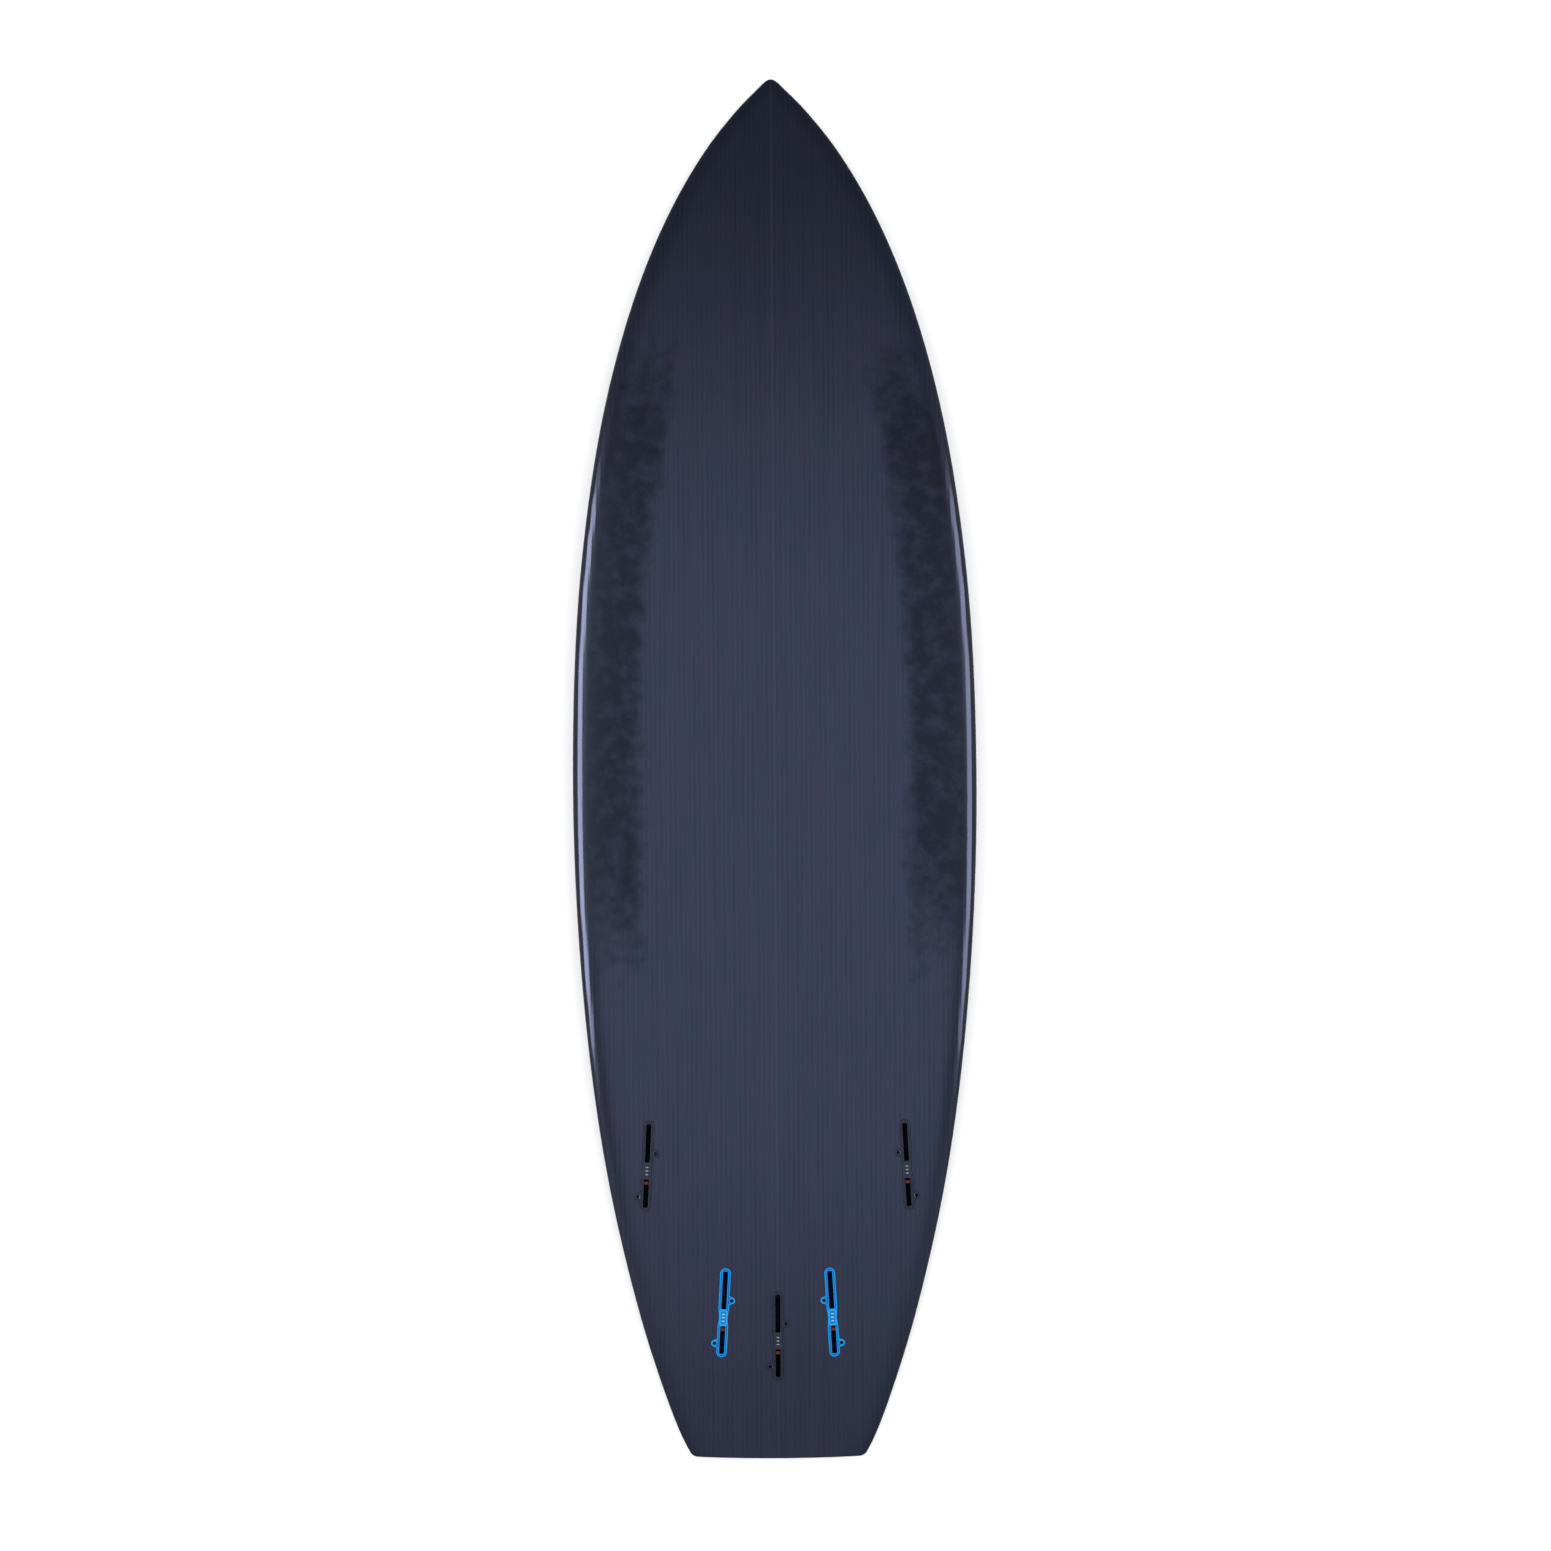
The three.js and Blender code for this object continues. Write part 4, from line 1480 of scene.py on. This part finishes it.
    def add_badge(self, body: Object) -> None:
        """Sinks a small panel in the bridge and stands plain grip bars in it.

        Args:
            body: The box's solid, which it changes.
        """
        middle = SIZES.bridge_middle
        floor = -SIZES.badge_depth - SIZES.chamfer / 4
        start = SIZES.proud
        panel = self.block(middle, SIZES.badge, SIZES.slot_corner, start, [(0.0, floor - start)])
        combine(body, panel, Combine.CUT)
        bar = (SIZES.badge[0] * SIZES.bar[0], SIZES.badge[1] * SIZES.bar[1])
        wall, bevel = [share * SIZES.badge_depth for share in SIZES.bar_rise]
        rungs = [(0.0, wall), (bar[1] / 4, bevel)]
        for step in range(SIZES.grip_bars):
            off = step - (SIZES.grip_bars - 1) / 2
            centre = middle + off * SIZES.badge[1] * SIZES.bar_spacing
            solid = self.block(centre, bar, bar[1] * SIZES.bar_corner, floor - SIZES.badge_depth, rungs)
            combine(body, solid, Combine.JOIN)

    def cut_ways(self, body: Object) -> None:
        """Cuts the slots, the ledge, the screws' holes and the roller pin's bore.

        Args:
            body: The box's solid, which it changes.
        """
        deep = SIZES.front_slot - SIZES.ledge
        for length, front, depth in (
            (SIZES.front_slot, SIZES.front_end, SIZES.ledge_depth),
            (deep, SIZES.front_end - SIZES.ledge, SIZES.slot_depth),
            (SIZES.rear_slot, SIZES.bridge_rear, SIZES.slot_depth),
        ):
            combine(body, self.slot_cutter(length, front, depth), Combine.CUT)
        length = SIZES.hole_depth + SIZES.proud
        middle = Matrix.Translation((0.0, 0.0, SIZES.proud - length / 2))
        for place in self.screw_places():
            at = place.matrix() @ middle
            hole = post("screw_hole", SIZES.hole_radius, length, SIZES.hole_steps, at)
            combine(body, hole, Combine.CUT)
        reach = 2 * SIZES.bore_reach
        bore = post("pin_bore", SIZES.bore_radius, reach, SIZES.bore_steps, self.across_slot())
        combine(body, bore, Combine.CUT)

    def across_slot(self) -> Matrix:
        """From the Z axis to the roller's axis, in the box's own frame."""
        place = Matrix.Translation((0.0, SIZES.roller_y, -SIZES.roller_depth))
        return place @ Matrix.Rotation(math.radians(90), 4, "Y")

    def settle(self, body: Object) -> None:
        """Sets the box in the board and bends its top to lie flush in the curved bottom.

        Args:
            body: The box's solid, which it changes.
        """
        turn = self.turn()
        # The level drives the nylon's painted highlight on the lips and its painted shade in the sunk
        # band and the slots.
        level = body.data.attributes.new("Level", "FLOAT", "POINT")
        for vert in body.data.vertices:
            local = vert.co.copy()
            level.data[vert.index].value = local.z
            placed = turn @ local
            flat = turn @ Vector((local.x, local.y, 0.0))
            drop = SHAPE.surface_height(flat.x, flat.y, BOTTOM) - flat.z
            placed.z += drop * smooth_step(-SIZES.settle_depth, -SIZES.chamfer, local.z)
            vert.co = placed
        body.data.update()

    def build_box(self, finish: Material) -> Object:
        """The box itself, set in the board and dressed.

        Args:
            finish: Its material.

        Returns:
            The finished box.
        """
        body = self.blank(0.0, -SIZES.chamfer)
        self.raised_lip(body)
        self.add_pads(body)
        self.add_badge(body)
        self.cut_ways(body)
        self.settle(body)
        body.name = f"box_{self.name}"
        dress(body, finish)
        enrol(body, f"fin_box_{self.name}")
        return body

    def build(self, finishes: dict[str, Material]) -> None:
        """Builds the box and everything in it.

        Args:
            finishes: The material of each slot.
        """
        self.build_box(finishes[self.slot])
        at = self.turn() @ self.across_slot()
        Roller().build(self.name, at, finishes)
        for place in self.screw_places():
            SetScrew().build(f"{self.name}_{place.name}", self.turn() @ place.matrix(), finishes)


@dataclass(frozen=True)
class SetScrew:
    """A headless screw with a hexagon socket, a ridged thread and a cup point."""

    radius: float = 0.0021
    root: float = 0.0018
    length: float = 0.007
    recess: float = 0.002
    pitch: float = 0.0006
    socket_radius: float = 0.0014
    socket_depth: float = 0.003
    socket_sides: int = 6
    point: float = 0.0011
    crest: tuple[float, float] = (0.4, 0.6)              # where a thread's crest is, by its pitch
    tip: tuple[float, float] = (0.6, 0.4)                # the cupped point's rim and depth
    sides: int = 28

    def profile(self) -> list[tuple[float, float]]:
        """Radius and height of the outside, from the socket's end to the point.

        Returns:
            The points, from the top down.
        """
        top = -self.recess
        end = top - self.length
        points = [(0.0, top), (self.root, top)]
        turns = int((self.length - self.point) / self.pitch)
        for turn in range(turns):
            start = top - turn * self.pitch
            points += [(self.radius, start - self.pitch * share) for share in self.crest]
            points.append((self.root, start - self.pitch))
        flat, hollow = [share * self.point for share in self.tip]
        points += [(self.point, end), (flat, end), (0.0, end + hollow)]
        return points

    def build(self, name: str, at: Matrix, finishes: dict[str, Material]) -> None:
        """Builds one screw in its hole.

        Args:
            name: The box and the end that it belongs to.
            at: From an upright screw to its place in the board.
            finishes: The material of each slot.
        """
        screw = turned(f"grub_{name}", self.profile(), self.sides)
        top = Matrix.Translation((0.0, 0.0, -self.recess))
        socket = post("socket", self.socket_radius, 2 * self.socket_depth, self.socket_sides, top)
        combine(screw, socket, Combine.CUT)
        move_mesh(screw, at)
        dress(screw, finishes["steel"])
        enrol(screw, f"set_screw_{name}", f"set_screw_{name}")


@dataclass(frozen=True)
class Roller:
    """The sleeve that grips a fin's rear tab, on its steel pin."""

    radius: float = 0.0025
    bore: float = 0.0013
    length: float = 0.006
    edge: float = 0.0005
    edge_steps: int = 4
    sides: int = 40
    pin_radius: float = 0.001
    pin_length: float = 0.011
    pin_sides: int = 24

    def build(self, name: str, at: Matrix, finishes: dict[str, Material]) -> None:
        """Builds the sleeve and the pin of one box.

        Args:
            name: The box.
            at: From the Z axis to the roller's place in the board.
            finishes: The material of each slot.
        """
        half = self.length / 2
        turns = [math.radians(90 * step / self.edge_steps) for step in range(self.edge_steps + 1)]
        corner = [(self.edge * (1 - math.cos(a)), self.edge * (1 - math.sin(a))) for a in turns]
        low = [(self.radius - inward, down - half) for inward, down in reversed(corner)]
        ring = [(self.bore, -half), *low, *[(radius, -height) for radius, height in reversed(low)]]
        ring += [(self.bore, half), (self.bore, -half)]
        sleeve = turned(f"sleeve_{name}", ring, self.sides)
        move_mesh(sleeve, at)
        dress(sleeve, finishes["orange_rubber"])
        enrol(sleeve, f"roller_{name}", f"roller_{name}")
        slope = self.pin_radius / 4
        pin = rod(f"axle_{name}", self.pin_radius, self.pin_length, slope, self.pin_sides)
        move_mesh(pin, at)
        dress(pin, finishes["steel"])
        enrol(pin, f"roller_pin_{name}")


# ---------------------------------------------------------------- leash cup


@dataclass(frozen=True)
class LeashCup:
    """The cup sunk in the deck near the tail, with the bar that a leash is tied to."""

    station: float = 0.07
    radius: float = 0.014
    depth: float = 0.017
    flange: float = 0.0165
    flange_depth: float = 0.0015
    cavity: float = 0.0115
    floor: float = 0.003
    fillet: float = 0.003
    edge: float = 0.0005
    bar_radius: float = 0.002
    bar_depth: float = 0.0045
    bar_reach: float = 0.013
    fillet_steps: int = 6
    sides: int = 72
    pocket_sides: int = 64
    hole_sides: int = 40
    bar_sides: int = 32

    def turn(self) -> Matrix:
        """From the cup's own frame, with its depth along +Z, to the board's.

        Returns:
            The move from one to the other.
        """
        ahead = SHAPE.point(0.0, self.station + self.radius, DECK).z
        behind = SHAPE.point(0.0, self.station - self.radius, DECK).z
        pitch = math.atan2(ahead - behind, 2 * self.radius)
        place = Vector((0.0, self.station - SHAPE.length / 2, 0.0))
        place.z = SHAPE.point(0.0, self.station, DECK).z
        return Matrix.Translation(place) @ Matrix.Rotation(pitch, 4, "X")

    def pocket(self) -> Object:
        """The hole that the cup sits in, as a solid in the board.

        Returns:
            The solid.
        """
        low = -2 * self.flange_depth
        shoulder = self.flange_depth + GAP
        solid = turned("cup_pocket", [
            (0.0, low), (self.flange + GAP, low), (self.flange + GAP, shoulder),
            (self.radius + GAP, shoulder), (self.radius + GAP, self.depth + GAP),
            (0.0, self.depth + GAP),
        ], self.pocket_sides)
        move_mesh(solid, self.turn())
        return solid

    def build(self, finishes: dict[str, Material]) -> None:
        """Builds the cup and its bar.

        Args:
            finishes: The material of each slot.
        """
        ground = self.depth - self.floor
        arc = [math.radians(90 * step / self.fillet_steps) for step in range(self.fillet_steps + 1)]
        fillet = [
            (self.cavity - self.fillet * (1 - math.cos(a)), ground - self.fillet * (1 - math.sin(a)))
            for a in arc
        ]
        cup = turned("cup", [
            (0.0, self.depth), (self.radius - self.edge, self.depth),
            (self.radius, self.depth - self.edge), (self.radius, self.flange_depth),
            (self.flange, self.flange_depth), (self.flange, self.edge),
            (self.flange - self.edge, 0.0), (self.cavity + self.edge, 0.0),
            (self.cavity, self.edge), *fillet, (0.0, ground),
        ], self.sides)
        across = Matrix.Translation((0.0, 0.0, self.bar_depth))
        across @= Matrix.Rotation(math.radians(90), 4, "Y")
        reach = 2 * (self.bar_reach + GAP)
        hole = post("bar_hole", self.bar_radius + GAP, reach, self.hole_sides, across)
        combine(cup, hole, Combine.CUT)
        # The level drives the nylon's painted shade down in the cup.
        level = cup.data.attributes.new("Level", "FLOAT", "POINT")
        level.data.foreach_set("value", [-vert.co.z for vert in cup.data.vertices])
        move_mesh(cup, self.turn())
        dress(cup, finishes["black_plastic"])
        enrol(cup, "leash_cup")
        bar = rod("cup_bar", self.bar_radius, 2 * self.bar_reach, self.edge, self.bar_sides)
        move_mesh(bar, self.turn() @ across)
        dress(bar, finishes["steel"])
        enrol(bar, "leash_bar")


# ---------------------------------------------------------------- skins and core


@dataclass(frozen=True)
class Skin:
    """One of the two laminate shells, which meet along the rails.

    Args:
        name: The piece's name.
        node: The CAD node that it stands for.
        slot: The record's material slot.
        side: The way that it faces, BOTTOM or DECK.
        around: Steps round the whole section.
        rings: Steps along the board.
        crease: The angle past which its edges are sharp.
    """

    name: str
    node: str
    slot: str
    side: int
    around: int = 128
    rings: int = 240
    crease: float = 50.0

    def build(self, pockets: list[Object], finishes: dict[str, Material]) -> None:
        """Builds the shell from half a sphere drawn out into the board's shape.

        Args:
            pockets: What is cut out of it.
            finishes: The material of each slot.
        """
        bm = bmesh.new()
        bmesh.ops.create_uvsphere(bm, u_segments=self.around, v_segments=self.rings, radius=1.0)
        away = [face for face in bm.faces if face.calc_center_median().y * self.side < 0.0]
        bmesh.ops.delete(bm, geom=away, context="FACES")
        outer = bm.verts[:]
        whole = bm.verts[:] + bm.edges[:] + bm.faces[:]
        copy = bmesh.ops.duplicate(bm, geom=whole)["geom"]
        inner = [part for part in copy if isinstance(part, BMVert)]
        SHAPE.place_on_hull(outer, 0.0)
        SHAPE.place_on_hull(inner, SHAPE.skin)
        rim = [edge for edge in bm.edges if edge.is_boundary]
        for vert in {vert for edge in rim for vert in edge.verts}:
            vert.co.z += self.side * GAP / 2
        bmesh.ops.bridge_loops(bm, edges=rim)
        piece = make_object(self.name, bm)
        cut_all(piece, pockets)
        self.map_outline(piece)
        dress(piece, finishes[self.slot], self.crease)
        enrol(piece, self.node)

    def map_outline(self, piece: Object) -> None:
        """Maps each point by its distance from the rail and from the tail.

        Args:
            piece: The skin, which gets the map.
        """
        mesh = piece.data
        places = []
        for vert in mesh.vertices:
            station = min(max(vert.co.y + SHAPE.length / 2, 0.0), SHAPE.length)
            half = SHAPE.section(round(station, MAP_DIGITS)).half_width
            places.append((half - abs(vert.co.x), station))
        layer = mesh.uv_layers.new(name="Outline")
        corners = [value for loop in mesh.loops for value in places[loop.vertex_index]]
        layer.uv.foreach_set("vector", corners)


@dataclass(frozen=True)
class CoreSlice:
    """A lengthwise slice of the core: a foam half, or the stringer between them.

    Args:
        name: The piece's name.
        node: The CAD node that it stands for.
        slot: The record's material slot.
        low: The least X of its two sides, or None where it runs out to the rail.
        high: The greatest X of its two sides, or None where it runs out to the rail.
        around: Steps round the whole section.
        rings: Steps along the board.
    """

    name: str
    node: str
    slot: str
    low: float | None
    high: float | None
    around: int = 96
    rings: int = 140

    def build(self, pockets: list[Object], finishes: dict[str, Material]) -> None:
        """Builds the slice from a whole core.

        Args:
            pockets: What is cut out of it.
            finishes: The material of each slot.
        """
        bm = bmesh.new()
        bmesh.ops.create_uvsphere(bm, u_segments=self.around, v_segments=self.rings, radius=1.0)
        SHAPE.place_on_hull(bm.verts[:], SHAPE.skin + GAP)
        for x, way in ((self.low, -1.0), (self.high, 1.0)):
            if x is None:
                continue
            whole = bm.verts[:] + bm.edges[:] + bm.faces[:]
            made = bmesh.ops.bisect_plane(
                bm, geom=whole, dist=SAME_PLACE / 10, plane_co=(x, 0.0, 0.0), plane_no=(way, 0.0, 0.0),
                clear_outer=True,
            )
            cut = [part for part in made["geom_cut"] if isinstance(part, BMEdge)]
            bmesh.ops.contextual_create(bm, geom=cut)
        piece = make_object(self.name, bm)
        cut_all(piece, pockets)
        dress(piece, finishes[self.slot])
        enrol(piece, self.node)


# ---------------------------------------------------------------- studio


@dataclass(frozen=True)
class Lamp:
    """A soft area lamp that no camera sees.

    Args:
        name: Which lamp it is.
        size: Its size along its own X and Y.
        place: Where it hangs.
        aim: The point that it faces.
        radiance: How bright its surface is.
        colour: Its colour.
        diffuse: Whether it lights surfaces.
        glossy: Whether it shows in reflections.
        shape: Blender's name for its outline.
    """

    name: str
    size: tuple[float, float]
    place: tuple[float, float, float]
    aim: tuple[float, float, float]
    radiance: float
    colour: RGB = (1.0, 1.0, 1.0)
    diffuse: bool = True
    glossy: bool = True
    shape: str = "RECTANGLE"

    def build(self) -> None:
        """Hangs the lamp."""
        data = bpy.data.lights.new(self.name, "AREA")
        data.shape = self.shape
        data.size, data.size_y = self.size
        data.energy = self.radiance * 4 * self.size[0] * self.size[1]
        data.color = self.colour
        lamp = bpy.data.objects.new(self.name, data)
        bpy.context.collection.objects.link(lamp)
        lamp.location = self.place
        way = Vector(self.aim) - Vector(self.place)
        lamp.rotation_euler = way.to_track_quat("-Z", "Y").to_euler()
        lamp.visible_camera = False
        lamp.visible_diffuse = self.diffuse
        lamp.visible_glossy = self.glossy


@dataclass(frozen=True)
class Studio:
    """The pale floor, the soft lamps and the camera straight over the board.

    Args:
        camera_place: Where the camera hangs.
        camera_lean: Its turn about Z.
        lens: Its focal length, in millimetres.
        sensor: Its sensor's width, in millimetres.
        floor_radius: The floor's radius.
        floor_sides: Its sides.
        floor_colour: The paint's colour.
        floor_patch: How much darker the paint's faint patches are.
        backdrop: How bright the world is, seen straight.
        fill: How bright it is in reflections and as light.
        lamps: The lamps.
    """

    camera_place: tuple[float, float, float] = (0.001, -0.0088, 10.0125)
    camera_lean: float = -0.00586
    lens: float = 180.0
    sensor: float = 36.0
    floor_radius: float = 14.0
    floor_sides: int = 64
    floor_colour: RGB = (0.95, 0.95, 0.96)
    floor_patch: float = 0.985
    backdrop: float = 1.0
    fill: float = 0.4
    lamps: tuple[Lamp, ...] = (
        Lamp("overhead", (2.6, 3.2), (0.0, -0.7, 3.1), (0.0, -0.7, 0.0), 0.75,
             diffuse=False, shape="ELLIPSE"),
        Lamp("sky", (9.0, 9.0), (0.0, 0.0, 4.4), (0.0, 0.0, 0.0), 1.9, glossy=False),
        Lamp("left_panel", (1.55, 1.0), (-2.0, 0.0, 0.84), (0.0, 0.0, 0.84), 12.5,
             colour=(0.96, 0.89, 0.78), diffuse=False),
        Lamp("right_panel", (1.55, 1.0), (2.0, 0.0, 0.84), (0.0, 0.0, 0.84), 7.2,
             colour=(0.96, 0.89, 0.78), diffuse=False),
    )

    def build_floor(self) -> None:
        """Lays the floor."""
        bm = bmesh.new()
        below = Matrix.Translation((0.0, 0.0, -GAP))
        bmesh.ops.create_circle(
            bm, cap_ends=True, segments=self.floor_sides, radius=self.floor_radius, matrix=below,
        )
        floor = make_object("studio_floor", bm)
        floor.data.materials.append(self.floor_material())
        floor.visible_glossy = False

    def floor_material(self) -> Material:
        """Pale matt paint with a faint unevenness.

        Returns:
            The material.
        """
        made = bpy.data.materials.new("floor_paint")
        made.use_nodes = True
        nodes, links = made.node_tree.nodes, made.node_tree.links
        nodes.clear()
        place = nodes.new("ShaderNodeTexCoord")
        place.label = "Place on the floor"
        patches = nodes.new("ShaderNodeTexNoise")
        patches.label = "Faint patches"
        tone = nodes.new("ShaderNodeMix")
        tone.label = "Paint tone"
        paint = nodes.new("ShaderNodeBsdfPrincipled")
        paint.label = "Matt paint"
        output = nodes.new("ShaderNodeOutputMaterial")
        output.label = "Floor"
        lay_out(nodes.new("NodeFrame"), "Paint", 0, (place, patches, tone, paint, output))
        patches.inputs["Scale"].default_value = 3.0
        tone.data_type = "RGBA"
        tone.inputs["A"].default_value = (*self.floor_colour, 1.0)
        tone.inputs["B"].default_value = (*[self.floor_patch * tint for tint in self.floor_colour], 1.0)
        paint.inputs["Roughness"].default_value = 1.0
        paint.inputs["Specular IOR Level"].default_value = 0.0
        links.new(place.outputs["Object"], patches.inputs["Vector"])
        links.new(patches.outputs["Fac"], tone.inputs["Factor"])
        links.new(tone.outputs["Result"], paint.inputs["Base Color"])
        links.new(paint.outputs["BSDF"], output.inputs["Surface"])
        return made

    def build_world(self) -> None:
        """A white backdrop beyond the floor, and a dim fill in reflections."""
        world = bpy.data.worlds.new("studio")
        bpy.context.scene.world = world
        world.use_nodes = True
        nodes, links = world.node_tree.nodes, world.node_tree.links
        nodes.clear()
        rays = nodes.new("ShaderNodeLightPath")
        rays.label = "Seen straight"
        level = nodes.new("ShaderNodeMapRange")
        level.label = "Backdrop or fill"
        backdrop = nodes.new("ShaderNodeBackground")
        backdrop.label = "Backdrop"
        output = nodes.new("ShaderNodeOutputWorld")
        output.label = "Studio"
        lay_out(nodes.new("NodeFrame"), "Backdrop", 0, (rays, level, backdrop, output))
        level.inputs["To Min"].default_value = self.fill
        level.inputs["To Max"].default_value = self.backdrop
        links.new(rays.outputs["Is Camera Ray"], level.inputs["Value"])
        links.new(level.outputs["Result"], backdrop.inputs["Strength"])
        links.new(backdrop.outputs["Background"], output.inputs["Surface"])

    def build_camera(self) -> None:
        """Hangs the camera straight over the board, with the nose away from its foot."""
        data = bpy.data.cameras.new("camera")
        data.lens = self.lens
        data.sensor_width = self.sensor
        data.clip_end = 100.0
        camera = bpy.data.objects.new("camera", data)
        bpy.context.collection.objects.link(camera)
        camera.location = self.camera_place
        camera.rotation_euler = Euler((0.0, 0.0, self.camera_lean))
        bpy.context.scene.camera = camera
        bpy.context.scene.view_settings.view_transform = "Standard"

    def build(self) -> None:
        """Builds the whole studio."""
        self.build_camera()
        self.build_floor()
        self.build_world()
        for lamp in self.lamps:
            lamp.build()


# ---------------------------------------------------------------- the whole board


FINISHES = {
    "bottom_laminate": Laminate("bottom_laminate"),
    "deck_laminate": Laminate("deck_laminate", rib_tone=0.08, mottle_and_shade_strength=0.3),
    "foam": Grained(
        "core_foam", (0.86, 0.84, 0.78), (0.62, 0.59, 0.52), (1.0, 1.0, 1.0), 420.0, (0.85, 0.98),
        0.0004, cells=True,
    ),
    "stringer_wood": Grained(
        "stringer_ply", (0.56, 0.37, 0.2), (0.22, 0.12, 0.055), (14.0, 1.0, 9.0), 26.0, (0.6, 0.85),
        0.0001,
    ),
    # Colours of each nylon: lips with a painted highlight, the sunk band with painted shade, and
    # painted shade down in the slots and holes.
    "black_plastic": MouldedPlastic(
        "black_nylon", (0.0075, 0.0084, 0.0135), (0.0035, 0.004, 0.0065), (0.0001, 0.0001, 0.0002),
    ),
    "blue_plastic": MouldedPlastic(
        "azure_nylon", (0.007, 0.21, 0.52), (0.002, 0.065, 0.24), (0.0001, 0.0009, 0.016),
        worn=(0.2, 0.42, 0.6), sheen=(0.12, 0.5, 1.0),
    ),
    # Steel darker than bare stainless: painted shade for the shade down in the ears' holes. The roller
    # pins and the leash bar share it.
    "steel": Grained(
        "steel_in_painted_shade", (0.2, 0.21, 0.23), (0.09, 0.095, 0.11), (1.0, 6.0, 1.0), 900.0, (0.28, 0.5),
        0.00001, metal=True,
    ),
    # Darker than the elastomer's own red-orange: painted shade, as the roller sits in the slot's
    # shadow.
    "orange_rubber": Grained(
        "red_elastomer_in_painted_shade", (0.12, 0.02, 0.011), (0.055, 0.01, 0.007), (1.0, 1.0, 1.0), 700.0, (0.6, 0.85),
        0.00004,
    ),
}


@dataclass
class Shortboard:
    """The whole board.

    Args:
        boxes: Its five fin boxes.
        cup: Its leash cup.
        skins: Its two shells.
        slices: The core's three slices.
        finishes: The material of each slot, once they are made.
    """

    boxes: tuple[FinBox, ...] = (
        FinBox("left", -0.1665, 0.3805, -3.0, 1, "black_plastic"),
        FinBox("right", 0.1665, 0.3805, 3.0, -1, "black_plastic"),
        FinBox("quad_left", -0.0698, 0.19, -3.3, 1, "blue_plastic"),
        FinBox("quad_right", 0.0698, 0.19, 3.3, -1, "blue_plastic"),
        FinBox("centre", 0.0, 0.1595, 0.0, 1, "black_plastic"),
    )
    cup: LeashCup = LeashCup()
    skins: tuple[Skin, ...] = (
        Skin("bottom_laminate", "bottom_skin", "bottom_laminate", BOTTOM),
        Skin("deck_laminate", "deck_skin", "deck_laminate", DECK),
    )
    slices: tuple[CoreSlice, ...] = (
        CoreSlice("foam_left", "foam_core_left", "foam", None, -0.0023),
        CoreSlice("foam_right", "foam_core_right", "foam", 0.0023, None),
        CoreSlice("stringer_ply", "stringer", "stringer_wood", -0.002, 0.002),
    )
    finishes: dict[str, Material] = field(default_factory=dict)

    def build(self) -> None:
        """Builds every piece of the board."""
        for slot, finish in FINISHES.items():
            self.finishes[slot] = finish.material()
        pockets = [box.pocket() for box in self.boxes] + [self.cup.pocket()]
        for part in (*self.skins, *self.slices):
            part.build(pockets, self.finishes)
        for solid in pockets:
            bpy.data.objects.remove(solid)
        for box in self.boxes:
            box.build(self.finishes)
        self.cup.build(self.finishes)


def main() -> None:
    """Builds the studio and the board."""
    logging.basicConfig(level=logging.INFO, format="%(name)s: %(message)s")
    Studio().build()
    Shortboard().build()


if __name__ == "__main__":
    main()
